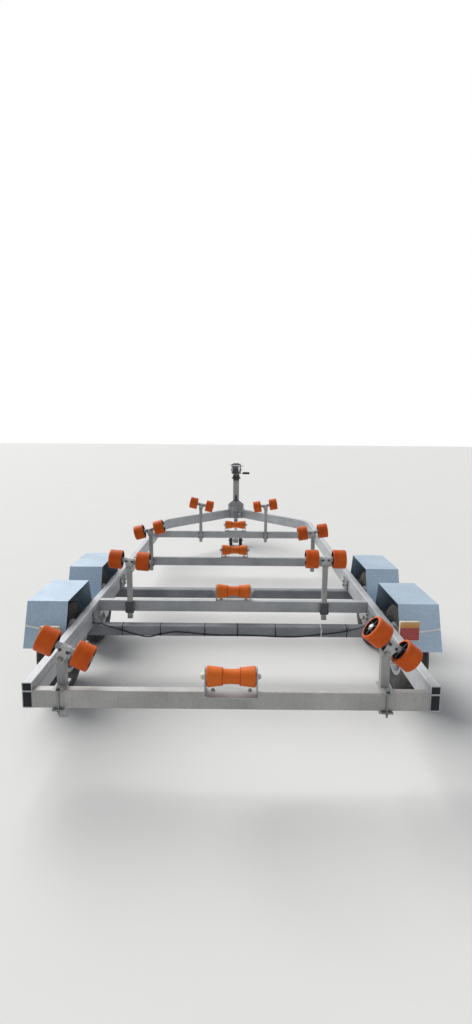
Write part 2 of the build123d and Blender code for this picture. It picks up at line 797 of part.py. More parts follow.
# Overrun coupling: housing, bellows and ball head
flange_back = bar_front + seat_gap
with BuildPart() as coupling_housing:
    with BuildSketch(Plane.XZ.offset(-at(housing_front))):
        with Locations((0, coupling_z)):
            Circle(housing_r)
    extrude(amount=housing_front - flange_back)
    with BuildSketch(Plane.XZ.offset(-at(flange_back + flange_t))):
        with Locations((0, coupling_z)):
            RectangleRounded(flange_w, flange_h, rail_corner_r)
    extrude(amount=flange_t)
coupling_housing.part.label = "coupling_housing"
export_step(coupling_housing.part, "parts/coupling_housing.step")
bellows_back = housing_front + seat_gap
bellows_plane = Plane(origin=(0, at(bellows_back), coupling_z), x_dir=(0, 1, 0), z_dir=(1, 0, 0))
with BuildPart() as bellows:
    with BuildSketch(bellows_plane):
        folds = [(0, 0), (0, bellows_valley_r)]
        for fold in range(4):
            folds.append((6 + fold * bellows_pitch, housing_r))
            folds.append((6 + (fold + 0.5) * bellows_pitch, bellows_valley_r))
        with BuildLine():
            Polyline(*folds, (bellows_len, bellows_valley_r - 2), (bellows_len, 0), close=True)
        make_face()
    revolve(axis=Axis((0, 0, coupling_z), (0, 1, 0)))
bellows.part.label = "coupling_bellows"
export_step(bellows.part, "parts/coupling_bellows.step")
head_back = bellows_back + bellows_len + seat_gap
with BuildPart() as coupling_head:
    with BuildSketch(Plane.XZ.offset(-at(ball_s - 20))):
        with Locations((0, coupling_z)):
            RectangleRounded(head_w, head_h, 12.0)
    extrude(amount=ball_s - 20 - head_back)
    with BuildSketch(Plane.XY.offset(coupling_z - cup_low)):
        with Locations((0, at(ball_s))):
            Circle(cup_r)
    extrude(amount=cup_h)
    with BuildSketch(Plane.XY.offset(coupling_z - cup_low)):
        with Locations((0, at((ball_s + nose_reach) / 2))):
            Rectangle(40.0, nose_reach - ball_s)
    extrude(amount=40.0)
    with BuildSketch(Plane.XY.offset(coupling_z - cup_low)):
        with Locations((0, at(ball_s))):
            Circle(ball_r + ball_gap)
    extrude(amount=socket_depth, mode=Mode.SUBTRACT)
    # Release handle over the head
    with BuildSketch(Plane.YZ):
        with BuildLine():
            Polyline(
                (at(ball_s + 20), coupling_z + 37), (at(ball_s + 10), coupling_z + 70),
                (at(ball_s - 120), coupling_z + 84), (at(ball_s - 124), coupling_z + 72),
                (at(ball_s - 20), coupling_z + 56), (at(ball_s - 20), coupling_z + 20), close=True,
            )
        make_face()
    extrude(amount=handle_w / 2, both=True)
coupling_head.part.label = "coupling_head"
export_step(coupling_head.part, "parts/coupling_head.step")

# Handbrake lever beside its mount on the housing, pivoting on the mount's pin
brake_z = coupling_z + brake_rise
mount_foot = coupling_z + housing_r + seat_gap
with BuildPart() as brake_mount:
    with BuildSketch(Plane.YZ):
        with BuildLine():
            Polyline((at(brake_s - 40), mount_foot), (at(brake_s + 40), mount_foot),
                     (at(brake_s + 16), brake_z + 14), (at(brake_s - 16), brake_z + 14), close=True)
        make_face()
    extrude(amount=-brake_plate)
    with BuildSketch(Plane.YZ.offset(-brake_plate - 6)):
        with Locations((at(brake_s), brake_z)):
            Circle(brake_pin_r)
    extrude(amount=2 * brake_plate + 16)
brake_mount.part.label = "handbrake_mount"
export_step(brake_mount.part, "parts/handbrake_mount.step")
with BuildPart() as brake_lever:
    with BuildSketch(Plane.YZ.offset(5.0)):
        with BuildLine():
            Polyline(
                (at(brake_s - 22), brake_z - 8), (at(brake_s + 14), brake_z - 18),
                (at(brake_s + 20), brake_z + 16), (at(brake_s - 90), brake_z + 130),
                (at(brake_s - lever_len + 4), brake_z + 170), (at(brake_s - lever_len), brake_z + 152),
                (at(brake_s - 102), brake_z + 112), close=True,
            )
        make_face()
        with Locations((at(brake_s), brake_z)):
            Circle(brake_pin_r + running_fit, mode=Mode.SUBTRACT)
    extrude(amount=brake_plate)
brake_lever.part.label = "handbrake_lever"
export_step(brake_lever.part, "parts/handbrake_lever.step")

# Winch post on the nose plate, with a gusset at its foot and a brace to the drawbar
plate_top = rail_top + seat_gap + plate_t
post_foot = plate_top + seat_gap
post_back = winch_s - post_d / 2
post_front = winch_s + post_d / 2
brace_s = winch_s + brace_ahead
foot_half = post_flange / 2
gusset = (
    (-foot_half, plate_t), (foot_half, plate_t), (foot_half, gusset_rise),
    (post_w / 2, gusset_top), (-post_w / 2, gusset_top), (-foot_half, gusset_rise),
)
with BuildPart() as winch_post:
    with BuildSketch(Plane.XY.offset(post_foot)):
        with Locations((0, at(winch_s - 20))):
            Rectangle(post_flange, post_foot_len)
    extrude(amount=plate_t)
    with BuildSketch(Plane.XY.offset(post_foot + plate_t)):
        with Locations((0, at(winch_s))):
            RectangleRounded(post_w, post_d, rail_corner_r)
    extrude(amount=post_top - post_foot - plate_t)
    with BuildSketch(Plane.XZ.offset(-at(post_back + 1))):
        with BuildLine():
            Polyline(*[(x, post_foot + z) for x, z in gusset], close=True)
        make_face()
    extrude(amount=6.0)
    with BuildSketch(Plane.YZ):
        with BuildLine():
            Polyline((at(post_front - 1), winch_z - brace_drop),
                     (at(post_front - 1), winch_z - brace_drop - brace_depth),
                     (at(brace_s - brace_w / 2), rail_top + plate_t),
                     (at(brace_s + brace_w / 2), rail_top + plate_t), close=True)
        make_face()
    extrude(amount=20.0, both=True)
    with BuildSketch(Plane.XY.offset(rail_top + seat_gap)):
        with Locations((0, at(brace_s))):
            Rectangle(brace_foot_w, brace_foot_len)
    extrude(amount=plate_t)
winch_post.part.label = "winch_post"
export_step(winch_post.part, "parts/winch_post.step")

# Bow stop under the winch: two arms and a waisted roller
stop_s = winch_s - stop_back
with BuildPart() as bow_stop:
    for side in (-1, 1):
        with BuildSketch(Plane.YZ.offset(side * (post_w / 2 + seat_gap))):
            with BuildLine():
                Polyline(
                    (at(post_front - 2), stop_z - 30), (at(post_front - 2), stop_z + 30),
                    (at(stop_s), stop_z + 16), (at(stop_s - 14), stop_z),
                    (at(stop_s), stop_z - 16), close=True,
                )
            make_face()
        extrude(amount=side * 6.0)
    with BuildSketch(Plane(origin=(0, at(stop_s), stop_z), x_dir=(1, 0, 0), z_dir=(0, -1, 0))):
        with BuildLine():
            Polyline(
                (-stop_half, 0), (-stop_half, stop_r - 4), (-stop_half + 6, stop_r), (0, stop_mid_r),
                (stop_half - 6, stop_r), (stop_half, stop_r - 4), (stop_half, 0), close=True,
            )
        make_face()
    revolve(axis=Axis((0, at(stop_s), stop_z), (1, 0, 0)))
    with BuildSketch(Plane.YZ):
        with Locations((at(stop_s), stop_z)):
            Circle(stop_pin_r)
    extrude(amount=post_w / 2 + 13, both=True)
bow_stop.part.label = "bow_stop"
export_step(bow_stop.part, "parts/bow_stop.step")

# Winch: frame on the post, drum with its gear, crank with its pinion
drum_s = winch_s - drum_back_s
drum_z = winch_z - drum_drop
with BuildPart() as winch_frame:
    with BuildSketch(Plane.XZ.offset(-at(post_back - seat_gap))):
        with Locations((0, winch_z)):
            Rectangle(winch_w, winch_h)
    extrude(amount=winch_plate)
    for side in (-1, 1):
        with BuildSketch(Plane.YZ.offset(side * winch_w / 2)):
            with BuildLine():
                Polyline(
                    (at(post_back - 2), winch_z - winch_h / 2), (at(post_back - 2), winch_z + 85),
                    (at(post_back - 120), winch_z + 68), (at(post_back - 135), winch_z - 60), close=True,
                )
            make_face()
            with Locations((at(crank_s), crank_z)):
                Circle(crank_r + running_fit, mode=Mode.SUBTRACT)
        extrude(amount=-side * winch_plate)
    with BuildSketch(Plane.YZ):
        with Locations((at(drum_s), drum_z)):
            Circle(drum_pin_r)
    extrude(amount=winch_w / 2 + 6, both=True)
winch_frame.part.label = "winch_frame"
export_step(winch_frame.part, "parts/winch_frame.step")
gear_back = drum_half - 18
with BuildPart() as winch_drum:
    with BuildSketch(Plane(origin=(0, at(drum_s), drum_z), x_dir=(1, 0, 0), z_dir=(0, -1, 0))):
        with BuildLine():
            Polyline(
                (-drum_half, drum_pin_r + running_fit), (-drum_half, gear_r), (-drum_half + 4, gear_r),
                (-drum_half + 4, drum_core_r), (gear_back - 6, drum_core_r), (gear_back - 6, gear_r - 4),
                (gear_back, gear_r - 4), (gear_back, gear_r), (gear_back + 14, gear_r),
                (gear_back + 14, drum_pin_r + running_fit), close=True,
            )
        make_face()
    revolve(axis=Axis((0, at(drum_s), drum_z), (1, 0, 0)))
winch_drum.part.label = "winch_drum"
export_step(winch_drum.part, "parts/winch_drum.step")
arm_plane_x = winch_w / 2 + 18
with BuildPart() as winch_handle:
    with BuildSketch(Plane.YZ.offset(-winch_w / 2 - 2)):
        with Locations((at(crank_s), crank_z)):
            Circle(crank_r)
    extrude(amount=winch_w / 2 + 2 + arm_plane_x + 8)
    with BuildSketch(Plane.YZ.offset(gear_back + 1)):
        with Locations((at(crank_s), crank_z)):
            Circle(pinion_r)
    extrude(amount=pinion_w)
    with BuildSketch(Plane.YZ.offset(arm_plane_x)):
        with BuildLine():
            Polyline((at(crank_s + 14), crank_z + 12), (at(crank_s + 14), crank_z - 14),
                     (at(crank_s - 190), crank_z - 108), (at(crank_s - 198), crank_z - 90), close=True)
        make_face()
    extrude(amount=7.0)
    with BuildSketch(Plane.YZ.offset(arm_plane_x + 6)):
        with Locations((at(crank_s - 184), crank_z - 94)):
            Circle(grip_r)
    extrude(amount=grip_len)
winch_handle.part.label = "winch_handle"
export_step(winch_handle.part, "parts/winch_handle.step")
print("coupling and winch")

# Nose wheel: outer tube inside the V, clamped to the nose web, with its winding crank
with BuildPart() as jockey_tube:
    with BuildSketch(Plane.XY.offset(tube_low)):
        with Locations((0, at(jockey_s))):
            Circle(tube_r)
    extrude(amount=tube_high + tube_cap - tube_low)
    with BuildSketch(Plane.XY.offset(rail_mid_z - 50)):
        with Locations((0, at((jockey_s + nose_back - nose_web - seat_gap) / 2))):
            Rectangle(2 * tube_r + 14, nose_back - nose_web - seat_gap - jockey_s)
    extrude(amount=100.0)
    with BuildSketch(Plane.XY.offset(tube_high + tube_cap)):
        with Locations((0, at(jockey_s))):
            Circle(9.0)
    extrude(amount=12.0)
    with BuildSketch(Plane.XY.offset(tube_high + tube_cap + 6)):
        with Locations((0, at(jockey_s - crank_arm / 2 + 10))):
            RectangleRounded(22.0, crank_arm + 20, 8.0)
    extrude(amount=8.0)
    with BuildSketch(Plane.XY.offset(tube_high + tube_cap + 13)):
        with Locations((0, at(jockey_s - crank_arm + 12))):
            Circle(12.0)
    extrude(amount=crank_grip)
    with BuildSketch(Plane.XY.offset(tube_low)):
        with Locations((0, at(jockey_s))):
            Circle(leg_r + running_fit)
    extrude(amount=tube_high - tube_low, mode=Mode.SUBTRACT)
jockey_tube.part.label = "jockey_tube"
export_step(jockey_tube.part, "parts/jockey_tube.step")
with BuildPart() as jockey_leg:
    with BuildSketch(Plane.XY.offset(leg_low)):
        with Locations((0, at(jockey_s))):
            Circle(leg_r)
    extrude(amount=leg_high - leg_low)
jockey_leg.part.label = "jockey_leg"
export_step(jockey_leg.part, "parts/jockey_leg.step")

# Swivelling carriage between the twin wheels
axle_back = jockey_s - jockey_trail
crown = leg_low - 1
with BuildPart() as jockey_fork:
    with BuildSketch(Plane.YZ):
        with BuildLine():
            Polyline(
                (at(jockey_s + tube_r), crown), (at(jockey_s - tube_r), crown),
                (at(axle_back - 26), jockey_r + 14), (at(axle_back - 20), carriage_low + 8),
                (at(axle_back - 6), carriage_low), (at(axle_back + 22), carriage_low + 6),
                (at(jockey_s + tube_r), crown - 34), close=True,
            )
        make_face()
    extrude(amount=carriage_w / 2, both=True)
    with BuildSketch(Plane.YZ):
        with Locations((at(axle_back), jockey_r)):
            Circle(jockey_axle_r)
    extrude(amount=jockey_gap / 2 + jockey_w + 10, both=True)
jockey_fork.part.label = "jockey_fork"
export_step(jockey_fork.part, "parts/jockey_fork.step")
with BuildPart() as jockey_wheels:
    inner = jockey_gap / 2
    outer = inner + jockey_w
    bore = jockey_axle_r + running_fit
    for side in (-1, 1):
        wheel_plane = Plane(origin=(0, at(axle_back), jockey_r), x_dir=(side, 0, 0), z_dir=(0, -side, 0))
        with BuildSketch(wheel_plane):
            with BuildLine():
                Polyline(
                    (inner, bore), (inner, 22), (inner + jockey_recess, 26), (inner + jockey_recess, 52),
                    (inner, 56), (inner, jockey_r - 8), (inner + 8, jockey_r), (outer - 8, jockey_r),
                    (outer, jockey_r - 8), (outer, 56), (outer - jockey_recess, 52),
                    (outer - jockey_recess, 26), (outer, 22), (outer, bore), close=True,
                )
            make_face()
        revolve(axis=Axis((0, at(axle_back), jockey_r), (1, 0, 0)))
jockey_wheels.part.label = "jockey_wheels"
export_step(jockey_wheels.part, "parts/jockey_wheels.step")
print("nose wheel")

# Lamp wiring, clipped along the rear face of the rear axle
axle_back_s = wheel_s[0] + axle_ahead - axle_size / 2
cable_share = (rail_inner_x - seat_gap) / cable_points[-1][0]
route = [Vector(x * cable_share, at(axle_back_s - off), z) for x, off, z in cable_points]
radii = []
for before, corner, after in zip(route, route[1:], route[2:]):
    turn = (corner - before).get_angle(after - corner)
    run = min((corner - before).length, (after - corner).length)
    radii.append(0.45 * run / tan(radians(turn / 2)))
print("wiring: smallest bend radius", round(min(radii)), "mm")
with BuildPart() as wiring:
    with BuildLine() as cable_path:
        FilletPolyline(*route, radius=radii)
    with BuildSketch(Plane(origin=route[0], z_dir=route[1] - route[0])):
        Circle(cable_r)
    sweep()
cable_length = sum(edge.length for edge in cable_path.edges())
print("wiring: length", round(cable_length), "mm, volume", round(wiring.part.volume))
wiring.part.label = "wiring"
export_step(wiring.part, "parts/wiring.step")
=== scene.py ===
import bpy
import bmesh
import json
import math
from mathutils import Matrix, Vector


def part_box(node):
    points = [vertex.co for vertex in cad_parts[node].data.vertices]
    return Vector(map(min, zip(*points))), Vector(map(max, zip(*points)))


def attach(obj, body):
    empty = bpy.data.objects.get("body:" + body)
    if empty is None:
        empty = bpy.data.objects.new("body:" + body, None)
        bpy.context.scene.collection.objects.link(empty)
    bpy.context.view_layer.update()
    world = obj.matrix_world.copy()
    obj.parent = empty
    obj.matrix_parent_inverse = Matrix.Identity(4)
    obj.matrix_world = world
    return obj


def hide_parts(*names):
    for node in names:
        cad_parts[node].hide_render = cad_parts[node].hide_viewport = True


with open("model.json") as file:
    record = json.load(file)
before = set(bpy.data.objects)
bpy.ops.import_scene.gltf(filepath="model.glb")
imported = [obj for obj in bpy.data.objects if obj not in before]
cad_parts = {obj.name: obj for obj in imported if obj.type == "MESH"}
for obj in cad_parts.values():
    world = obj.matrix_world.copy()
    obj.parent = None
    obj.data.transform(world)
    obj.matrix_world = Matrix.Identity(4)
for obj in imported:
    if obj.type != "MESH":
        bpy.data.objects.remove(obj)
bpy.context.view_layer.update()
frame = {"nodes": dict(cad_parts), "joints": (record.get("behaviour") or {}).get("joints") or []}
nodes = frame["nodes"]
scene = bpy.context.scene
right, ahead, up = Vector((1, 0, 0)), Vector((0, 1, 0)), Vector((0, 0, 1))
print("frame loaded,", len(nodes), "nodes")

# Places along the trailer are counted forwards from the rear face of the side rails
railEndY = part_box("rail_left")[0].y


def at(s):
    return railEndY + s


def show(name, data):
    obj = bpy.data.objects.new(name, data)
    scene.collection.objects.link(obj)
    return obj


# Camera, where the photograph was taken from
view = {
    "x": 0.022, "behind": 2.467, "height": 1.738,  # metres, behind the rail ends
    "tilt": 8.48, "turn": 0.14, "roll": 0.47,      # degrees
    "focalPixels": 550.0, "framePixels": 1024.0, "sensor": 36.0, "clip": (0.02, 200.0),
}
camera = bpy.data.cameras.new("photoCamera")
camera.sensor_fit = "VERTICAL"
camera.sensor_height = view["sensor"]
camera.lens = view["sensor"] * view["focalPixels"] / view["framePixels"]
camera.clip_start, camera.clip_end = view["clip"]
scene.camera = show("photoCamera", camera)
scene.camera.matrix_world = (
    Matrix.Translation((view["x"], railEndY - view["behind"], view["height"]))
    @ Matrix.Rotation(math.radians(view["turn"]), 4, "Z")
    @ Matrix.Rotation(math.radians(90.0 - view["tilt"]), 4, "X")
    @ Matrix.Rotation(math.radians(view["roll"]), 4, "Z")
)
scene.view_settings.view_transform = "Standard"


def feed(tree, node, inputs):
    # Links the inputs that are given a socket and sets the others
    for key, value in inputs.items():
        socket = node.inputs[key]
        if isinstance(value, bpy.types.NodeSocket):
            tree.links.new(value, socket)
        elif socket.type == "RGBA":
            socket.default_value = (*value, 1.0)
        else:
            socket.default_value = value


def grow(tree, kind, inputs=None, **properties):
    # One node with its properties and inputs
    node = tree.nodes.new(kind)
    for key, value in properties.items():
        setattr(node, key, value)
    feed(tree, node, inputs or {})
    return node


def compute(tree, operation, *values):
    return grow(tree, "ShaderNodeMath", dict(enumerate(values)), operation=operation).outputs[0]


def startMaterial(name):
    material = bpy.data.materials.new(name)
    material.use_nodes = True
    tree = material.node_tree
    coords = grow(tree, "ShaderNodeTexCoord").outputs["Object"]
    return material, tree, tree.nodes["Principled BSDF"], coords


def stretched(tree, coords, stretch=(1, 1, 1)):
    return grow(tree, "ShaderNodeMapping", {"Vector": coords, "Scale": stretch}).outputs["Vector"]


def noise(tree, vector, scale, detail=4.0, rough=0.55):
    inputs = {"Vector": vector, "Scale": scale, "Detail": detail, "Roughness": rough}
    return grow(tree, "ShaderNodeTexNoise", inputs).outputs["Fac"]


def cells(tree, vector, scale):
    node = grow(tree, "ShaderNodeTexVoronoi", {"Vector": vector, "Scale": scale})
    return grow(tree, "ShaderNodeRGBToBW", {"Color": node.outputs["Color"]}).outputs["Val"]


def ramp(tree, value, *stops):
    # Grey between two stops, each a position and a level
    node = grow(tree, "ShaderNodeValToRGB", {"Fac": value})
    for element, (position, level) in zip(node.color_ramp.elements, stops):
        element.position = position
        element.color = (level, level, level, 1.0)
    return node.outputs["Color"]


def blend(tree, factor, first, second, kind="MIX"):
    # Inputs 6 and 7 and output 2 of the node are its colours
    inputs = {0: factor, 6: first, 7: second}
    return grow(tree, "ShaderNodeMix", inputs, data_type="RGBA", blend_type=kind).outputs[2]


def coated(tree, shader, height, strength, distance, inputs):
    # Feeds the shader and gives it a bump
    relief = {"Height": height, "Strength": strength, "Distance": distance}
    feed(tree, shader, {**inputs, "Normal": grow(tree, "ShaderNodeBump", relief).outputs["Normal"]})


zinc = {
    "cloud": (4.5, 5.0, 0.6), "cloudStops": ((0.35, 0.0), (0.68, 1.0)),
    "runStretch": (18, 18, 1.6), "runs": (6.0, 3.0), "runStops": ((0.5, 0.0), (0.78, 0.35)),
    "spangleStops": ((0.1, 0.28), (0.9, 0.85)), "spangleShare": 0.14, "grime": 0.72,
    "roughFrom": 0.2, "roughTo": 0.8, "roughShare": 0.5, "bumpShare": 0.4, "bump": (0.12, 0.0006),
}


def zincSteel(name, bright, dull, metallic=0.25, roughLow=0.34, roughHigh=0.55, spangle=140.0, band=None):
    # Hot-dip zinc: crystal spangles, cloudy patches and faint dark runs
    material, tree, shader, coords = startMaterial(name)
    plain = stretched(tree, coords)
    cloud = noise(tree, plain, *zinc["cloud"])
    crystals = cells(tree, plain, spangle)
    runs = noise(tree, stretched(tree, coords, zinc["runStretch"]), *zinc["runs"])
    base = blend(tree, ramp(tree, cloud, *zinc["cloudStops"]), dull, bright)
    if band:
        # Another tint on what stands in one band along the trailer
        middle, halfBand, tint = band
        along = grow(tree, "ShaderNodeSeparateXYZ", {0: coords}).outputs["Y"]
        base = blend(tree, compute(tree, "COMPARE", along, at(middle), halfBand), base, tint)
    spangles = ramp(tree, crystals, *zinc["spangleStops"])
    speckled = blend(tree, zinc["spangleShare"], base, spangles, "OVERLAY")
    grimy = tuple(c * zinc["grime"] for c in dull)
    roughness = blend(tree, zinc["roughShare"], crystals, cloud)
    coated(tree, shader, blend(tree, zinc["bumpShare"], crystals, runs), *zinc["bump"], {
        "Base Color": blend(tree, ramp(tree, runs, *zinc["runStops"]), speckled, grimy),
        "Roughness": ramp(tree, roughness, (zinc["roughFrom"], roughLow), (zinc["roughTo"], roughHigh)),
        "Metallic": metallic,
    })
    return material


plastic = {
    "drift": 14.0, "driftStops": ((0.3, 0.0), (0.75, 1.0)), "grainDetail": 2.0, "bump": (0.15, 0.0004),
    "dustAndSunlight": (9.0, 6.0, 0.7), "dustAndSunlightStops": ((0.48, 0.0), (0.8, 0.45)),
    "smoother": (0.2, -0.05), "rougher": (0.8, 0.08),
}


def mouldedPlastic(name, base, darker, roughness, grain=900.0, dustAndSunlight=None, gloss=0.5):
    # Moulded plastic or rubber: fine grain, soft colour drift, a little dust; on the tyres that pale dust
    # colour is also painted sunlight
    material, tree, shader, coords = startMaterial(name)
    plain = stretched(tree, coords)
    drift = noise(tree, plain, plastic["drift"])
    color = blend(tree, ramp(tree, drift, *plastic["driftStops"]), base, darker)
    # Patches of the dust colour: real dust, and on the tyres also painted sunlight
    if dustAndSunlight:
        dustAndSunlightMask = noise(tree, plain, *plastic["dustAndSunlight"])
        color = blend(tree, ramp(tree, dustAndSunlightMask, *plastic["dustAndSunlightStops"]), color, dustAndSunlight)
    levels = [(place, roughness + change) for place, change in (plastic["smoother"], plastic["rougher"])]
    coated(tree, shader, noise(tree, plain, grain, plastic["grainDetail"]), *plastic["bump"], {
        "Base Color": color, "Roughness": ramp(tree, drift, *levels), "Specular IOR Level": gloss,
    })
    return material


def waved(name, first, second, scale, bumpSize, inputs, distortion=0.0):
    # Fine parallel waves in two colours, raised a little
    material, tree, shader, coords = startMaterial(name)
    wave = grow(tree, "ShaderNodeTexWave", {"Vector": coords, "Scale": scale, "Distortion": distortion})
    height = wave.outputs["Fac"]
    coated(tree, shader, height, *bumpSize, {"Base Color": blend(tree, height, first, second), **inputs})
    return material


def lampLens(name, base, deep):
    # Clear coloured plastic over a fluted reflector
    gloss = {"Roughness": 0.16, "Coat Weight": 0.6, "Coat Roughness": 0.06}
    return waved(name, base, deep, scale=55.0, bumpSize=(0.25, 0.001), inputs=gloss)


# Zinc: bright and dull colour, metallic, lowest and highest roughness, scale of the spangles
# Plastic: two colours, roughness, scale of the grain, colour of the dust, which on the tyres is also painted
# sunlight
finish = {
    "frame": zincSteel("zincFrame", (0.50, 0.515, 0.535), (0.37, 0.385, 0.405)),
    "member": zincSteel("zincMember", (0.44, 0.435, 0.425), (0.33, 0.325, 0.315)),
    "beam": zincSteel("zincBeam", (0.45, 0.465, 0.48), (0.33, 0.345, 0.36)),
    # The blue tint of the mudguard sheets is painted reflection of a blue sky; the real sheets are plain
    # galvanised grey
    "sheet": zincSteel("zincSheetPaintedSkyBlue", (0.375, 0.485, 0.605), (0.30, 0.395, 0.495), 0.25, 0.32, 0.5, 90.0),
    # The axles' dark colour is painted shade: they are the same galvanised steel as the frame, darkened as if
    # their faces lay in shadow; the jockey tube uses it too
    "axle": zincSteel("zincAxlePaintedShade", (0.25, 0.265, 0.29), (0.16, 0.17, 0.19), 0.2, 0.40, 0.60),
    "post": zincSteel("zincPost", (0.40, 0.41, 0.405), (0.29, 0.30, 0.295)),
    "bracket": zincSteel("zincBracket", (0.54, 0.55, 0.56), (0.41, 0.42, 0.43)),
    "winch": zincSteel("winchSteel", (0.20, 0.205, 0.215), (0.12, 0.125, 0.13), 0.4, 0.3, 0.5),
    "rim": zincSteel("zincRim", (0.50, 0.51, 0.52), (0.38, 0.39, 0.40), 0.4, 0.3, 0.5),
    "bolt": zincSteel("zincBolt", (0.48, 0.47, 0.43), (0.28, 0.27, 0.25), 0.6, 0.25, 0.45, 400.0),
    "darkBolt": zincSteel("darkBolt", (0.12, 0.12, 0.12), (0.06, 0.06, 0.065), 0.4, 0.35, 0.5, 400.0),
    "weld": zincSteel("zincWeld", (0.40, 0.41, 0.42), (0.26, 0.27, 0.28), 0.4, 0.35, 0.55, 500.0),
    "shaft": zincSteel("brightShaft", (0.60, 0.61, 0.62), (0.48, 0.49, 0.50), 0.7, 0.2, 0.36, 300.0),
    "clamp": zincSteel(
        "postClamp", (0.34, 0.35, 0.35), (0.25, 0.26, 0.26), band=(1.29, 0.25, (0.06, 0.066, 0.072)),
    ),
    "cast": zincSteel("blackCast", (0.06, 0.065, 0.07), (0.03, 0.032, 0.035), 0.2, 0.4, 0.62),
    "orange": mouldedPlastic(
        "orangeRoller", (0.66, 0.115, 0.008), (0.52, 0.070, 0.004), 0.46, 700.0, gloss=0.2,
    ),
    "keelOrange": mouldedPlastic(
        "keelRoller", (0.78, 0.175, 0.022), (0.66, 0.120, 0.014), 0.46, 700.0, gloss=0.2,
    ),
    "orangeSeam": mouldedPlastic("orangeSeam", (0.56, 0.085, 0.006), (0.46, 0.060, 0.004), 0.5, gloss=0.2),
    "plastic": mouldedPlastic("blackPlastic", (0.008, 0.009, 0.011), (0.016, 0.017, 0.020), 0.5, gloss=0.25),
    "cream": mouldedPlastic("creamPlastic", (0.74, 0.69, 0.58), (0.62, 0.58, 0.49), 0.4),
    "rubber": mouldedPlastic(
        "softRubber", (0.02, 0.02, 0.021), (0.03, 0.03, 0.031), 0.72, 500.0, (0.10, 0.095, 0.085),
    ),
    # The tyre's pale dust colour is partly real dust and partly painted sunlight, lightening the black rubber
    # as if the sun fell on it
    "tyre": mouldedPlastic(
        "tyreRubber", (0.030, 0.030, 0.031), (0.050, 0.049, 0.048), 0.74, 420.0, (0.20, 0.19, 0.175),
    ),
    "cable": mouldedPlastic("cableSheath", (0.010, 0.010, 0.012), (0.018, 0.018, 0.020), 0.45, gloss=0.3),
    "tie": mouldedPlastic("whiteNylon", (0.84, 0.84, 0.82), (0.76, 0.76, 0.74), 0.4),
    "strap": waved(
        "winchWebbing", (0.035, 0.04, 0.05), (0.08, 0.09, 0.10), scale=260.0, bumpSize=(0.3, 0.0006),
        inputs={"Roughness": 0.8}, distortion=0.6,
    ),
    "red": lampLens("redLens", (0.55, 0.014, 0.016), (0.30, 0.006, 0.008)),
    "amber": lampLens("amberLens", (0.72, 0.34, 0.05), (0.50, 0.20, 0.02)),
}
# The material that the record gives to each kind of finish; all others are galvanised
slotOf = {
    "plastic": "black_plastic", "strap": "black_plastic", "orangeSeam": "roller", "tyre": "tyre",
    "amber": "lens", "red": "lens", "cream": "white_plastic", "tie": "white_plastic", "shaft": "steel",
    "cast": "black_paint", "rubber": "black_rubber",
}
print("finishes made")

# Floor and light
studio = {
    "floorHalf": 60.0, "floorColors": ((0.68, 0.68, 0.67), (0.72, 0.72, 0.71)), "floorGrain": 1.3,
    "floorRoughness": 0.85, "worldStrength": 0.28, "worldColor": (0.86, 0.92, 1.0),
    "keyStrength": 3.35, "keySpread": 50.0, "keyFrom": (-0.33, 0.34, 0.50), "keyColor": (1.0, 0.98, 0.95),
    "fillPower": 20.0, "fillFrom": (2.0, -7.5, 3.4), "fillTo": (0, -2.0, 0.5), "fillSize": (4.0, 3.0),
}
floorMesh = bpy.data.meshes.new("studioFloor")
half = studio["floorHalf"]
corners = [(-half, -half, 0), (half, -half, 0), (half, half, 0), (-half, half, 0)]
floorMesh.from_pydata(corners, [], [(0, 1, 2, 3)])
floor = show("studioFloor", floorMesh)
floorMaterial, tree, shader, coords = startMaterial("paleFloor")
floorColor = blend(tree, noise(tree, stretched(tree, coords), studio["floorGrain"]), *studio["floorColors"])
feed(tree, shader, {"Base Color": floorColor, "Roughness": studio["floorRoughness"]})
floorMesh.materials.append(floorMaterial)

# The world looks white, also in reflections, and lights the trailer with a weaker pale blue
world = bpy.data.worlds.new("paleStudio")
scene.world = world
world.use_nodes = True
tree = world.node_tree
soft = tree.nodes["Background"]
feed(tree, soft, {"Color": studio["worldColor"], "Strength": studio["worldStrength"]})
white = grow(tree, "ShaderNodeBackground", {"Color": (1, 1, 1), "Strength": 1.0})
rays = grow(tree, "ShaderNodeLightPath").outputs
seen = compute(tree, "MAXIMUM", rays["Is Camera Ray"], rays["Is Glossy Ray"])
seen = compute(tree, "MAXIMUM", seen, rays["Is Transmission Ray"])
switch = grow(tree, "ShaderNodeMixShader", {0: seen, 1: soft.outputs[0], 2: white.outputs[0]})
feed(tree, tree.nodes["World Output"], {"Surface": switch.outputs[0]})

keyLight = bpy.data.lights.new("wideKey", "SUN")  # far off and wide, so its shadows are soft
keyLight.energy = studio["keyStrength"]
keyLight.angle = math.radians(studio["keySpread"])
keyLight.color = studio["keyColor"]
show("wideKey", keyLight).rotation_euler = Vector(studio["keyFrom"]).to_track_quat("Z", "Y").to_euler()
fill = bpy.data.lights.new("backFill", "AREA")
fill.shape = "RECTANGLE"
fill.size, fill.size_y = studio["fillSize"]
fill.energy = studio["fillPower"]
fillObject = show("backFill", fill)
fillObject.location = studio["fillFrom"]
fillAim = Vector(studio["fillTo"]) - Vector(studio["fillFrom"])
fillObject.rotation_euler = fillAim.to_track_quat("-Z", "Y").to_euler()
print("camera, floor and light")


def place(obj, body, slot=None):
    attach(obj, body)
    return obj


# Tolerances in metres, the sharp angle in degrees, and steps of what has no steps of its own
meshing = {
    "weld": 0.00001, "sharp": 32.0, "onAxis": 1e-7, "bevelSteps": 2, "bevelProfile": 0.6,
    "rodSteps": 18, "ringSteps": 28, "bendSteps": 6,
}


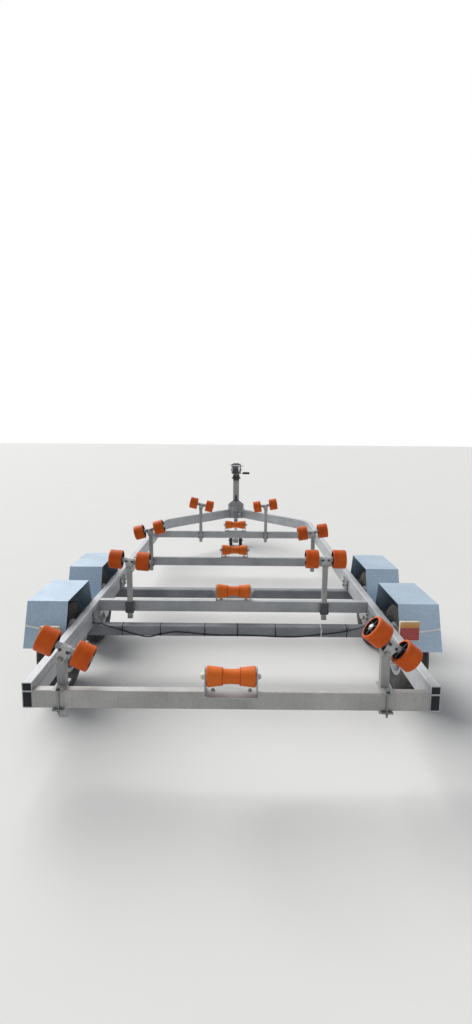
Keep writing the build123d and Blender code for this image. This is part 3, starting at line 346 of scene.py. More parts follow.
def addPiece(name, bm, kind, body="frame", smooth=True):
    # Welds the mesh, points its faces outwards and hands the piece to its body
    bmesh.ops.remove_doubles(bm, verts=bm.verts, dist=meshing["weld"])
    bmesh.ops.recalc_face_normals(bm, faces=bm.faces)
    mesh = bpy.data.meshes.new(name)
    bm.to_mesh(mesh)
    bm.free()
    mesh.materials.append(finish[kind])
    if smooth:
        mesh.polygons.foreach_set("use_smooth", [True] * len(mesh.polygons))
        mesh.set_sharp_from_angle(angle=math.radians(meshing["sharp"]))
    return place(show(name, mesh), body, slotOf.get(kind, "galvanised"))


def breakEdges(bm, edges, chamfer):
    steps, profile = meshing["bevelSteps"], meshing["bevelProfile"]
    bmesh.ops.bevel(bm, geom=list(edges), offset=chamfer, segments=steps, affect="EDGES", profile=profile)


def addBlock(bm, low, high, chamfer):
    # An upright block between two corners, with its edges broken
    made = bmesh.ops.create_cube(bm, size=1.0)["verts"]
    bmesh.ops.scale(bm, vec=[b - a for a, b in zip(low, high)], verts=made)
    bmesh.ops.translate(bm, vec=[(a + b) / 2 for a, b in zip(low, high)], verts=made)
    breakEdges(bm, {edge for vert in made for edge in vert.link_edges}, chamfer)


def closeBox(bm, spots):
    # A box on eight points, in the order of three nested pairs
    a, b, c, d, e, f, g, h = [bm.verts.new(spot) for spot in spots]
    for quad in ((b, d, h, f), (a, b, f, e), (c, g, h, d), (a, c, d, b), (e, f, h, g), (a, e, g, c)):
        bm.faces.new(quad)


def bridge(bm, loops, closed=False):
    # Skins loops of points; the end loops are capped, or joined when closed
    made = []
    for here, following in zip(loops, loops[1:] + (loops[:1] if closed else [])):
        for k in range(len(here)):
            j = (k + 1) % len(here)
            made.append(bm.faces.new((here[k], following[k], following[j], here[j])))
    if not closed:
        made += [bm.faces.new(loops[0]), bm.faces.new(reversed(loops[-1]))]
    return made


def crossAxes(axis):
    # The unit vector along an axis and two more square to it
    axis = Vector(axis).normalized()
    side = axis.orthogonal().normalized()
    return axis, side, axis.cross(side)


def turns(count, shift=0.0):
    return [2 * math.pi * (k + shift) / count for k in range(count)]


def swing(side, other, angle):
    return side * math.cos(angle) + other * math.sin(angle)


def lathe(bm, outline, centre, axis, steps):
    # Turns a closed outline of (along, radius) pairs round an axis
    axis, side, other = crossAxes(axis)
    rings = []
    for angle in turns(steps):
        out = swing(side, other, angle)
        rings.append([bm.verts.new(Vector(centre) + axis * a + out * r) for a, r in outline])
    for here, following in zip(rings, rings[1:] + rings[:1]):
        for i in range(len(outline)):
            j = (i + 1) % len(outline)
            if max(outline[i][1], outline[j][1]) > meshing["onAxis"]:
                bm.faces.new((here[i], here[j], following[j], following[i]))


def turned(name, parts, kind, body="frame"):
    # A piece made of lathed parts: outline, centre, axis and steps of each
    bm = bmesh.new()
    for part in parts:
        lathe(bm, *part)
    return addPiece(name, bm, kind, body)


def rod(bm, start, end, radius):
    along = Vector(end) - Vector(start)
    outline = [(0, 0), (0, radius), (along.length, radius), (along.length, 0)]
    lathe(bm, outline, start, along, meshing["rodSteps"])


def spotAt(x, spot):
    # A point from a place across and a pair of place along and height
    return Vector((x, at(spot[0]), spot[1]))


def slab(bm, outline, x0, x1, chamfer=0.0):
    # A plate cut to an outline of (place along, height), standing across X
    made = bridge(bm, [[bm.verts.new((x, at(s), z)) for s, z in outline] for x in (x0, x1)])
    if chamfer:
        breakEdges(bm, {edge for face in made for edge in face.edges}, chamfer)


def tubeAlong(bm, points, radius, steps):
    # A round bar through points, with its ends closed
    points = [Vector(p) for p in points]
    rings = []
    side = None
    for i, point in enumerate(points):
        onward = (points[min(i + 1, len(points) - 1)] - points[max(i - 1, 0)]).normalized()
        side = onward.orthogonal() if side is None else side - onward * side.dot(onward)
        side.normalize()
        other = onward.cross(side)
        rings.append([bm.verts.new(point + radius * swing(side, other, t)) for t in turns(steps)])
    bridge(bm, rings)


def roundedPath(corners, radius):
    # Points of a bent bar whose corners have one inside radius
    corners = [Vector(c) for c in corners]
    path = [corners[0]]
    steps = meshing["bendSteps"]
    for before, corner, after in zip(corners, corners[1:], corners[2:]):
        inward = (before - corner).normalized()
        outward = (after - corner).normalized()
        half = inward.angle(outward) / 2
        reach = radius / math.tan(half)
        start, end = corner + inward * reach, corner + outward * reach
        middle = corner + (inward + outward).normalized() * (radius / math.sin(half))
        for k in range(steps + 1):
            path.append(middle + (start - middle).lerp(end - middle, k / steps).normalized() * radius)
    return path + [corners[-1]]


def startGroup(name, inputs):
    # A geometry group whose inputs are a shape, (name, kind) pairs and a finish
    tree = bpy.data.node_groups.new(name, "GeometryNodeTree")
    tree.interface.new_socket("Geometry", in_out="OUTPUT", socket_type="NodeSocketGeometry")
    for key, kind in (("Geometry", "Geometry"), *inputs, ("finish", "Material")):
        tree.interface.new_socket(key, in_out="INPUT", socket_type="NodeSocket" + kind)
    return tree, tree.nodes.new("NodeGroupInput").outputs


def endGroup(tree, given, shape):
    real = grow(tree, "GeometryNodeRealizeInstances", {"Geometry": shape}).outputs[0]
    paint = grow(tree, "GeometryNodeSetMaterial", {"Geometry": real, "Material": given["finish"]})
    grow(tree, "NodeGroupOutput", {"Geometry": paint.outputs[0]})
    return tree


def stamped(tree, points, shape, rotation):
    inputs = {"Points": points, "Instance": shape, "Rotation": rotation}
    return grow(tree, "GeometryNodeInstanceOnPoints", inputs).outputs["Instances"]


def carried(name, mesh, group, values, body, slot=None, where=(0, 0, 0)):
    # Runs a node group over a carrier mesh and keeps the outcome as a plain mesh piece
    carrier = show(mesh.name, mesh)
    carrier.location = where
    modifier = carrier.modifiers.new("group", "NODES")
    modifier.node_group = group
    for item in group.interface.items_tree:
        if item.in_out == "INPUT" and item.name in values:
            modifier[item.identifier] = values[item.name]
    bpy.context.view_layer.update()
    outcome = bpy.data.meshes.new_from_object(carrier.evaluated_get(bpy.context.evaluated_depsgraph_get()))
    outcome.name = name
    outcome.transform(carrier.matrix_world)
    bpy.data.objects.remove(carrier)
    bpy.data.meshes.remove(mesh)
    return place(show(name, outcome), body, slot)


boltColumns = ("across", "headHeight", "washerRadius", "washerHeight", "stemRadius", "stemHeight")
boltSizes = {
    8: (0.013, 0.0055, 0.0085, 0.0016, 0.004, 0.0095),
    10: (0.017, 0.0068, 0.0105, 0.002, 0.005, 0.0125),
    12: (0.019, 0.008, 0.0125, 0.0025, 0.006, 0.015),
    14: (0.019, 0.0155, 0.0115, 0.003, 0.006, 0.0195),  # wheel nuts
    16: (0.024, 0.0105, 0.016, 0.003, 0.008, 0.0165),
    18: (0.024, 0.0090, 0.0150, 0.002, 0.0088, 0.0122),  # thin nuts
}
boltShape = {
    "corner": 0.57735, "side": 0.8, "crown": 0.2, "crownTop": 0.84, "stemTop": 0.86, "seed": 4,
    "washerSides": 20, "headSides": 6, "stemSides": 12,
}


def hexBoltTree():
    # Washer, chamfered hex head and a short stem, stamped on points that carry a facing direction
    tree, given = startGroup("hexBolts", [(name, "Float") for name in boltColumns])

    def times(value, factor):
        return compute(tree, "MULTIPLY", value, factor)

    def lifted(shape, height):
        vector = grow(tree, "ShaderNodeCombineXYZ", {"Z": height}).outputs[0]
        return grow(tree, "GeometryNodeTransform", {"Geometry": shape, "Translation": vector}).outputs[0]

    thick, stem = given["washerHeight"], given["stemRadius"]
    corner = times(given["across"], boltShape["corner"])
    flank = times(given["headHeight"], boltShape["side"])
    inputs = {"Vertices": boltShape["washerSides"], "Radius": given["washerRadius"], "Depth": thick}
    washer = grow(tree, "GeometryNodeMeshCylinder", inputs).outputs["Mesh"]
    shapes = [lifted(washer, times(thick, 0.5))]
    crown = (times(corner, boltShape["crownTop"]), times(given["headHeight"], boltShape["crown"]))
    for part, bottom, top, depth, height in (
        ("head", corner, corner, flank, thick),
        ("head", corner, *crown, compute(tree, "ADD", thick, flank)),
        ("stem", stem, times(stem, boltShape["stemTop"]), given["stemHeight"], 0.0),
    ):
        count = boltShape[part + "Sides"]
        inputs = {"Vertices": count, "Radius Bottom": bottom, "Radius Top": top, "Depth": depth}
        shapes.append(lifted(grow(tree, "GeometryNodeMeshCone", inputs).outputs["Mesh"], height))
    join = grow(tree, "GeometryNodeJoinGeometry")
    for shape in shapes:
        feed(tree, join, {"Geometry": shape})
    facing = grow(tree, "GeometryNodeInputNamedAttribute", {"Name": "facing"}, data_type="FLOAT_VECTOR")
    inputs = {"Vector": facing.outputs["Attribute"]}
    aim = grow(tree, "FunctionNodeAlignRotationToVector", inputs, axis="Z").outputs["Rotation"]
    chance = grow(tree, "FunctionNodeRandomValue", {"Seed": boltShape["seed"]}, data_type="FLOAT")
    twist = grow(tree, "ShaderNodeCombineXYZ", {"Z": chance.outputs[1]}).outputs[0]
    turn = grow(tree, "FunctionNodeEulerToRotation", {"Euler": twist}).outputs["Rotation"]
    inputs = {"Rotation": aim, "Rotate By": turn}
    spin = grow(tree, "FunctionNodeRotateRotation", inputs, rotation_space="LOCAL")
    bolts = stamped(tree, given["Geometry"], join.outputs[0], spin.outputs["Rotation"])
    return endGroup(tree, given, bolts)


hexBolts = hexBoltTree()


def stampBolts(name, size, rows, body="frame", kind="bolt"):
    # rows: (x, y, z, facing)
    mesh = bpy.data.meshes.new(name + "Points")
    mesh.from_pydata([row[:3] for row in rows], [], [])
    attribute = mesh.attributes.new("facing", "FLOAT_VECTOR", "POINT")
    for item, row in zip(attribute.data, rows):
        item.vector = row[3]
    carried(name, mesh, hexBolts, {**dict(zip(boltColumns, boltSizes[size])), "finish": finish[kind]}, body)


# Places that several pieces share, read from the frame
joints = {joint["name"]: joint for joint in frame["joints"]}
sides = (-1, 1)
wheelNames = [f"{row}_{hand}" for row in ("rear", "front") for hand in ("left", "right")]
pairNames = [name.removeprefix("tilt_") for name in joints if name.startswith("tilt_")]
keelNames = [name.removeprefix("keel_spin_") for name in joints if name.startswith("keel_spin_")]
railLow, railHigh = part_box("rail_right")
rail = {
    "width": 0.050, "wall": 0.0045, "upperCell": 0.036, "web": 0.008,
    "beamDepth": 0.050, "beamHeight": 0.080, "spindleAhead": 0.010,
}
railInner = railHigh.x - rail["width"]
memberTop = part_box("rear_crossmember")[1].z
guard = {
    "halfLength": 0.240, "slope": 0.106, "sheet": 0.0025, "stayThick": 0.0063, "stayAlong": 0.3084,
    "stayHeights": (0.470, 0.494),
}
guardLow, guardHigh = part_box("mudguards_right")
saddle = {
    "halfLength": 0.085, "thick": 0.008, "tubeHalf": 0.038, "armGap": 0.010, "armRoot": 0.0375,
    "boltAlong": (-0.064, 0.064), "boltHeights": (0.430, 0.464), "boltSink": 0.0003,
    "plateReach": 0.052, "beadInset": 0.004, "beadDrop": 0.002,
}
axlePlaces = [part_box(axle)[1].y - saddle["halfLength"] for axle in ("rear_axle", "front_axle")]
axleTop = railLow.z - saddle["thick"]


def jointPlace(name):
    return Vector(joints[name]["pos_m"])


def jointAxis(name):
    return Vector(joints[name]["axis"]).normalized()


wheelPlaces = [jointPlace(f"spin_{row}_right") for row in ("rear", "front")]
beamPlaces = [
    jointPlace(f"keel_spin_{name}").y - rail["spindleAhead"] for name in keelNames if name != "rear"
]


def mirrored(rows):
    # The same rows on both sides of the trailer
    return rows + [(-x, y, z, (-facing[0], facing[1], facing[2])) for x, y, z, facing in rows]


# Rail ends: black plugs in both cells of each rail
plug = {
    "gap": 0.0003, "inset": 0.0006, "depth": 0.014, "chamfer": 0.0015,
    "pad": 0.006, "padInset": 0.0002, "padDepth": 0.002, "padChamfer": 0.0004,
}


def railPlugs():
    bm = bmesh.new()
    gap, pad = plug["gap"], plug["pad"]
    outer = railHigh.x - rail["wall"] - gap
    inner = railInner + rail["wall"] + gap
    cellTop = railHigh.z - rail["wall"]
    cellMiddle = cellTop - rail["upperCell"]
    front, face = at(plug["inset"]), at(plug["padInset"])
    for side in sides:
        low, high = sorted((side * inner, side * outer))
        for bottom, top in ((cellMiddle, cellTop), (railLow.z + rail["wall"], cellMiddle - rail["web"])):
            bottom, top = bottom + gap, top - gap
            addBlock(bm, (low, front, bottom), (high, front + plug["depth"], top), plug["chamfer"])
            padHigh = (high - pad, front + plug["padDepth"], top - pad)
            addBlock(bm, (low + pad, face, bottom + pad), padHigh, plug["padChamfer"])
    addPiece("railPlugs", bm, "plastic")


railPlugs()


# Weld beads: a rippled bead along every line that is listed
bead = {
    "radius": 0.0026, "thin": 0.0022, "pitch": 0.0022, "phase": 2.1, "swell": (0.16, 0.9), "sides": 6,
    "sink": 0.0006, "endInset": 0.0008, "corner": 0.004,
}


def weldTree():
    tree, given = startGroup("weldBeads", [("beadRadius", "Float"), ("ripplePitch", "Float")])
    curve = grow(tree, "GeometryNodeMeshToCurve", {"Mesh": given["Geometry"]}).outputs["Curve"]
    inputs = {"Curve": curve, "Length": given["ripplePitch"]}
    spaced = grow(tree, "GeometryNodeResampleCurve", inputs, mode="LENGTH").outputs["Curve"]
    phase = compute(tree, "MULTIPLY", tree.nodes.new("GeometryNodeInputIndex").outputs[0], bead["phase"])
    swell = compute(tree, "MULTIPLY_ADD", compute(tree, "SINE", phase), *bead["swell"])
    radius = compute(tree, "MULTIPLY", swell, given["beadRadius"])
    section = grow(tree, "GeometryNodeCurvePrimitiveCircle", {"Resolution": bead["sides"], "Radius": 1.0})
    inputs = {"Curve": spaced, "Profile Curve": section.outputs["Curve"], "Scale": radius, "Fill Caps": True}
    return endGroup(tree, given, grow(tree, "GeometryNodeCurveToMesh", inputs).outputs["Mesh"])


weldBeads = weldTree()


def addBeads(name, lines, body="frame", radius=bead["radius"]):
    # lines: lists of points, each one a bead; a closed one repeats its first point
    points = []
    edges = []
    for line in lines:
        edges += [(len(points) + k, len(points) + k + 1) for k in range(len(line) - 1)]
        points += [tuple(point) for point in line]
    mesh = bpy.data.meshes.new(name + "Lines")
    mesh.from_pydata(points, edges, [])
    values = {"beadRadius": radius, "ripplePitch": bead["pitch"], "finish": finish["weld"]}
    obj = carried(name, mesh, weldBeads, values, body, "galvanised")
    obj.data.polygons.foreach_set("use_smooth", [True] * len(obj.data.polygons))


def ring(centre, axis, radius):
    # Points of a circle, with the first one repeated
    axis, side, other = crossAxes(axis)
    angles = turns(meshing["ringSteps"]) + [2 * math.pi]
    return [Vector(centre) + radius * swing(side, other, angle) for angle in angles]


def uprightLoop(x, low, high):
    # Points round a section that stands across X, its corners cut
    (y0, z0), (y1, z1) = low, high
    c = bead["corner"]
    loop = [
        (y0 + c, z0), (y1 - c, z0), (y1, z0 + c), (y1, z1 - c), (y1 - c, z1), (y0 + c, z1),
        (y0, z1 - c), (y0, z0 + c), (y0 + c, z0),
    ]
    return [(x, y, z) for y, z in loop]


keel = {
    "foot": 0.0063, "innerX": 0.119, "outerX": 0.125, "rearSpan": (-0.034, 0.038), "span": (-0.006, 0.034),
    "boltX": 0.088, "rearBolt": 0.008, "boltAhead": 0.014,
    # pieces on both halves of a roller: name, finish, outline, place out from its middle and steps
    "trim": [
        ("keelBushes", "plastic", [
            (-0.001, 0.0105), (-0.001, 0.0235), (0.0004, 0.0235), (0.0008, 0.0225), (0.0008, 0.0165),
            (0.0022, 0.0155), (0.0022, 0.0105),
        ], 0.116, 36),
        ("keelSeams", "orangeSeam", [
            (0.0002, 0.0375), (0.0002, 0.0416), (0.0012, 0.0424), (0.0042, 0.0428), (0.0056, 0.0419),
            (0.0056, 0.0375),
        ], 0.040, 64),
    ],
    "cap": [(0, 0), (0, 0.0165), (0.010, 0.0160), (0.0160, 0.0135), (0.0190, 0.0080), (0.0198, 0)],
    "capGap": 0.0008, "capSteps": 24,
}


def keelFoot(name):
    return (memberTop if name == "rear" else railHigh.z) + keel["foot"]


def frameWelds():
    lines = []
    half, depth, drop = saddle["tubeHalf"], rail["beamDepth"], saddle["beadDrop"]
    for side in sides:
        x = side * (railInner - bead["sink"])
        lines.append(uprightLoop(x, (at(bead["endInset"]), railLow.z), (at(depth), memberTop)))
        for y in beamPlaces:
            low, high = railHigh.z - rail["beamHeight"], railHigh.z - bead["sink"]
            lines.append(uprightLoop(x, (y, low), (y + depth, high)))
        plate, reach = side * (railInner - saddle["thick"]), side * (railInner + saddle["plateReach"])
        for tube in axlePlaces:
            lines.append([(plate, tube - half, axleTop), (plate, tube + half, axleTop)])
            for face in sides:
                y = tube + face * (half - saddle["beadInset"])
                lines.append([(plate, y, axleTop - drop), (reach, y, axleTop - drop)])
            root = (side * (railHigh.x + saddle["armGap"]), tube, axleTop - half)
            lines.append(ring(root, right, saddle["armRoot"]))
    for name in keelNames:
        y, z = jointPlace(f"keel_spin_{name}").y, keelFoot(name)
        start, end = keel["rearSpan" if name == "rear" else "span"]
        for side in sides:
            x = side * keel["innerX"]
            lines.append([(x, y + start, z), (x, y + end, z)])
    addBeads("frameWelds", lines)


frameWelds()
print("rail plugs and welds")


# Bolts that hold the frame together, in rows of place and facing
def frameBolts():
    saddleRows = []
    for tube in axlePlaces:
        for along in saddle["boltAlong"]:
            for z in saddle["boltHeights"]:
                inner = railInner - saddle["thick"] - saddle["boltSink"]
                saddleRows += [(inner, tube + along, z, -right), (railHigh.x, tube + along, z, right)]
    stayFace, reach = railHigh.x + guard["stayThick"], guard["stayAlong"]
    stayRows = [
        (stayFace, wheel.y + end * reach, z, right)
        for wheel in wheelPlaces for end in sides for z in guard["stayHeights"]
    ]
    stampBolts("saddleBolts", 12, mirrored(saddleRows))
    stampBolts("stayBolts", 10, mirrored(stayRows))


frameBolts()


# Posts: plugged ends, tilt pins with nuts, studs and bolts that clamp them
post = {
    "rearSide": 0.043, "side": 0.035, "cheekGap": 0.0015, "cheek": 0.006, "rise": 0.012, "clampGap": 0.0003,
    "tail": 0.042, "longTail": 0.075, "plugInset": 0.004, "plugSpans": ((-0.0015, 0.003), (-0.002, 0.0015)),
    "plugChamfer": 0.0008, "nutGap": 0.0004,
}
clamp = {
    "plate": 0.006, "reach": 0.024, "stud": 0.005, "studGap": 0.0005, "plateGap": 0.0003,
    "bolts": 0.0121, "boltRise": 0.026,
}


def postSide(name):
    return post["rearSide" if name.startswith("rear") else "side"]


def postFittings():
    pinRows = []
    studRows = []
    clampRows = []
    bm = bmesh.new()
    for name in pairNames:
        pin = jointPlace(f"tilt_{name}")
        rear = name.startswith("rear")
        half = postSide(name) / 2
        cheek = half + post["cheekGap"] + post["cheek"] + post["nutGap"]
        pinRows += [(pin.x, pin.y + face * cheek, pin.z, face * ahead) for face in sides]
        tail = post["longTail" if name == "rear_left" else "tail"]
        low = (railLow.z if rear else railHigh.z - rail["beamHeight"]) - tail
        corner = half - post["plugInset"]
        for end, (down, rise) in zip((low, pin.z + post["rise"]), post["plugSpans"]):
            plugLow = (pin.x - corner, pin.y - corner, end + down)
            addBlock(bm, plugLow, (pin.x + corner, pin.y + corner, end + rise), post["plugChamfer"])
        if rear:
            reach = clamp["plateGap"] + clamp["plate"]
            behind = at(-clamp["stud"] - clamp["studGap"])
            for y in (behind, pin.y + half + clamp["reach"] - 2 * clamp["stud"]):
                studRows += [(pin.x, y, memberTop + reach, up), (pin.x, y, railLow.z - reach, -up)]
            continue
        plate = pin.y - half - clamp["plate"] - post["clampGap"]
        for across in sides:
            for rise in sides:
                x = pin.x + across * (half + clamp["bolts"] / 2)
                z = railHigh.z - rail["beamHeight"] / 2 + rise * clamp["boltRise"]
                clampRows += [(x, plate, z, -ahead), (x, pin.y + half + rail["beamDepth"], z, ahead)]
    addPiece("postPlugs", bm, "plastic")
    stampBolts("pinNuts", 16, pinRows)
    stampBolts("studNuts", 10, studRows, kind="darkBolt")
    stampBolts("clampBolts", 8, clampRows, kind="darkBolt")


postFittings()
print("bolts on posts, axles and guards")


# Rockers: small clamping bolts on the cheeks and beads where the shaft's tube meets them
rocker = {"boltAlong": 0.0192, "boltDrop": 0.003, "saddleHalf": 0.028, "tube": 0.0172}


def rockerFittings():
    for name in pairNames:
        centre, axis = jointPlace(f"roll_{name}"), jointAxis(f"roll_{name}")
        rise = (centre - jointPlace(f"tilt_{name}")).normalized() * rocker["boltDrop"]
        cheek = postSide(name) / 2 + post["cheekGap"] + post["cheek"]
        rows = []
        for face in sides:
            for along in sides:
                spot = centre + axis * (along * rocker["boltAlong"]) - rise + ahead * (face * cheek)
                rows.append((*spot, face * ahead))
        stampBolts(f"rockerBolts_{name}", 8, rows, f"rocker_{name}", "darkBolt")
        lines = [ring(centre + axis * (end * rocker["saddleHalf"]), axis, rocker["tube"]) for end in sides]
        addBeads(f"rockerWelds_{name}", lines, f"rocker_{name}", bead["thin"])


rockerFittings()


# Side rollers: black spoked dish in each recess, caps on the shaft's ends, moulding lines on the treads
dish = {
    "offset": 0.094, "half": 0.044, "lines": (-0.022, 0.022),
    # a thin liner of the recess and the hub, as depth from the mouth and radius
    "liner": [
        (-0.0004, 0.0521), (-0.0151, 0.0491), (-0.0151, 0.0249), (-0.0021, 0.0219), (-0.0021, 0.0112),
        (-0.003, 0.0112), (-0.003, 0.021), (-0.016, 0.024), (-0.016, 0.050), (-0.0001, 0.053),
    ],
    "spokes": 6, "spokeHalf": 0.00275, "spokeBack": -0.0151,
    "spokeFronts": ((0.021, -0.004), (0.051, -0.0075)),
    "line": [(-0.0009, 0.064), (-0.0005, 0.0656), (0.0005, 0.0656), (0.0009, 0.064)],
    "cap": [
        (-0.0018, 0.0102), (-0.0018, 0.0165), (0.0002, 0.0165), (0.0008, 0.0155), (0.0008, 0.0125),
        (0.0036, 0.0118), (0.0060, 0.0085), (0.0068, 0.0), (0.0, 0.0), (0.0, 0.0102),
    ],
    "linerSteps": 40, "capSteps": 24, "lineSteps": 72,
}


def rollerDishes():
    for name in pairNames:
        centre, axis = jointPlace(f"roll_{name}"), jointAxis(f"roll_{name}")
        bm = bmesh.new()
        for end in sides:
            for face in sides:
                outward, side, other = crossAxes(axis * face)
                mouth = centre + axis * (end * dish["offset"]) + outward * dish["half"]
                lathe(bm, dish["liner"], mouth, outward, dish["linerSteps"])
                for angle in turns(dish["spokes"], 0.5):
                    along = swing(side, other, angle)
                    across = outward.cross(along) * dish["spokeHalf"]
                    closeBox(bm, [
                        mouth + along * reach + outward * deep + across * lean
                        for reach, front in dish["spokeFronts"]
                        for deep in (front, dish["spokeBack"]) for lean in sides
                    ])
        addPiece(f"rollerDishes_{name}", bm, "plastic", f"roller_pair_{name}")
        reach = dish["offset"] + dish["half"]
        caps = [(dish["cap"], centre + axis * (end * reach), axis * end, dish["capSteps"]) for end in sides]
        turned(f"shaftCaps_{name}", caps, "bolt", f"rocker_{name}")
        middles = [centre + axis * (end * dish["offset"] + s) for end in sides for s in dish["lines"]]
        lines = [(dish["line"], middle, axis, dish["lineSteps"]) for middle in middles]
        turned(f"rollerLines_{name}", lines, "orangeSeam", f"roller_pair_{name}")


rollerDishes()
print("rockers and side rollers")


# Keel rollers: bush in each end and a moulded seam beside each step; nuts on the spindles
def keelFittings():
    nutRows = []
    footRows = []
    for name in keelNames:
        centre = jointPlace(f"keel_spin_{name}")
        for title, kind, outline, reach, steps in keel["trim"]:
            parts = [(outline, centre + right * (side * reach), right * side, steps) for side in sides]
            turned(f"{title}_{name}", parts, kind, f"keel_roller_{name}")
        middle = at(keel["rearBolt"]) if name == "rear" else centre.y + keel["boltAhead"]
        for side in sides:
            nutRows.append((side * keel["outerX"], centre.y, centre.z, side * right))
            footRows.append((side * keel["boltX"], middle, keelFoot(name), up))
    stampBolts("spindleNuts", 16, nutRows)
    stampBolts("keelFootBolts", 10, footRows, kind="bracket")


keelFittings()
print("keel rollers")


# Tyres: moulded casing, grooved crown and tread blocks that stand on it
tyre = {
    "radius": 0.2968, "edgeRadius": 0.2903, "groove": 0.0065, "pitches": 66,
    "crownHalf": 0.030, "treadHalf": 0.063, "sink": 0.0003, "foot": 0.002, "top": 0.88, "skew": 0.0035,
    # place across the tread, width, length and share of a pitch that a column is turned by
    "columns": [
        (-0.0545, 0.017, 0.0205, 0.5), (-0.0290, 0.019, 0.0235, 0.0), (0.0, 0.022, 0.0245, 0.5),
        (0.0290, 0.019, 0.0235, 0.0), (0.0545, 0.017, 0.0205, 0.5),
    ],
    # one half of the casing, from the bead to the shoulder: place across and radius
    "wall": [
        (0.0530, 0.1662), (0.0572, 0.1664), (0.0575, 0.1762), (0.0640, 0.1860), (0.0680, 0.1890),
        (0.0740, 0.1925), (0.0765, 0.2030), (0.0805, 0.2130), (0.0819, 0.2190), (0.0825, 0.2200),
        (0.0825, 0.2222), (0.0817, 0.2232), (0.0815, 0.2400), (0.0803, 0.2480), (0.0813, 0.2488),
        (0.0809, 0.2512), (0.0795, 0.2520), (0.0765, 0.2640), (0.0720, 0.2740), (0.0680, 0.2808),
        (0.0630, 0.2835),
    ],
    "crown": (0.050, 0.036, 0.022, 0.010), "steps": 96,
    "ribs": ((0.2655, 0.0757), (0.2815, 0.0662)), "ribHalf": 0.0022, "ribSpan": (-0.002, 0.0014),
}


def crownRadius(x):
    # The tread's outer radius at a place across it
    away = max(0.0, abs(x) - tyre["crownHalf"]) / (tyre["treadHalf"] - tyre["crownHalf"])
    return tyre["radius"] - away * (tyre["radius"] - tyre["edgeRadius"]) - tyre["sink"]


def treadTree():
    # Turns one pitch of the tread round the wheel's axle
    tree, given = startGroup("treadBlocks", [("pitches", "Int")])
    inputs = {"Count": given["pitches"], "Offset": (0, 0, 0)}
    row = grow(tree, "GeometryNodeMeshLine", inputs, mode="OFFSET", count_mode="TOTAL").outputs["Mesh"]
    share = compute(tree, "DIVIDE", tree.nodes.new("GeometryNodeInputIndex").outputs[0], given["pitches"])
    turn = grow(tree, "ShaderNodeCombineXYZ", {"X": compute(tree, "MULTIPLY", share, 2 * math.pi)}).outputs[0]
    rotation = grow(tree, "FunctionNodeEulerToRotation", {"Euler": turn}).outputs["Rotation"]
    return endGroup(tree, given, stamped(tree, row, given["Geometry"], rotation))


def treadPitch():
    # One pitch of the tread, at the top of a wheel whose axle is the X axis
    bm = bmesh.new()
    for x, width, length, shift in tyre["columns"]:
        turn = shift * 2 * math.pi / tyre["pitches"]
        skew = math.copysign(tyre["skew"], -x) if x else 0.0
        loops = []
        for share, depth in ((1.0, tyre["groove"] + tyre["foot"]), (tyre["top"], 0.0)):
            loop = []
            for cornerX, cornerY in ((-1, -1), (1, -1), (1, 1), (-1, 1)):
                px = x + cornerX * width / 2 * share
                angle = turn + (cornerY * length / 2 * share + cornerX * skew) / tyre["radius"]
                radius = crownRadius(px) - depth
                loop.append(bm.verts.new((px, radius * math.sin(angle), radius * math.cos(angle))))
            loops.append(loop)
        bridge(bm, loops)
    bmesh.ops.recalc_face_normals(bm, faces=bm.faces)
    mesh = bpy.data.meshes.new("treadPitch")
    bm.to_mesh(mesh)
    bm.free()
    return mesh


def shoulderRibs(bm, centre):
    # Short radial ribs on both shoulders, two to a pitch
    for middle in turns(tyre["pitches"] * 2):
        for face in sides:
            spots = []
            for radius, across in tyre["ribs"]:
                for lean in (-tyre["ribHalf"], tyre["ribHalf"]):
                    turn = middle + lean / radius
                    rim = centre + swing(up, ahead, turn) * radius
                    spots += [rim + right * (face * (across + out)) for out in tyre["ribSpan"]]
            closeBox(bm, spots)


def tyres():
    blocks = treadTree()
    outline = tyre["wall"] + [(x, crownRadius(x) - tyre["groove"]) for x in tyre["crown"]]
    outline += [(-x, radius) for x, radius in reversed(outline)]
    for wheel in wheelNames:
        centre = jointPlace(f"spin_{wheel}")
        bm = bmesh.new()
        lathe(bm, outline, centre, right if wheel.endswith("right") else -right, tyre["steps"])
        shoulderRibs(bm, centre)
        casing = addPiece(f"tyreCasing_{wheel}", bm, "tyre", f"wheel_{wheel}")
        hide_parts(f"tyre_{wheel}")
        values = {"pitches": tyre["pitches"], "finish": finish["tyre"]}
        carried(f"treadBlocks_{wheel}", treadPitch(), blocks, values, f"wheel_{wheel}", "tyre", centre)


tyres()
print("tyres")


# Wheels: nuts round the hub, domed cap and valve
wheelTrim = {
    "nuts": 5, "nutShift": 0.25, "nutCircle": 0.056, "disc": 0.038, "cap": 0.062, "capRadius": 0.030,
    "dome": 0.011, "domeFoot": 0.0015, "domeFlat": 0.004, "domeSteps": 6, "capSteps": 36,
    "capFoot": [(-0.004, 0.0), (-0.004, 0.028), (0.0, 0.029), (0.0015, 0.0304)],
    "valveCircle": 0.128, "valveFoot": 0.026, "valveTurn": 0.6, "valveLean": (-0.25, -0.18), "valveSteps": 14,
    "valve": [
        (0, 0), (0, 0.0072), (0.008, 0.0062), (0.012, 0.0038), (0.026, 0.0036), (0.0265, 0.0044),
        (0.036, 0.0044), (0.037, 0.0036), (0.037, 0),
    ],
}


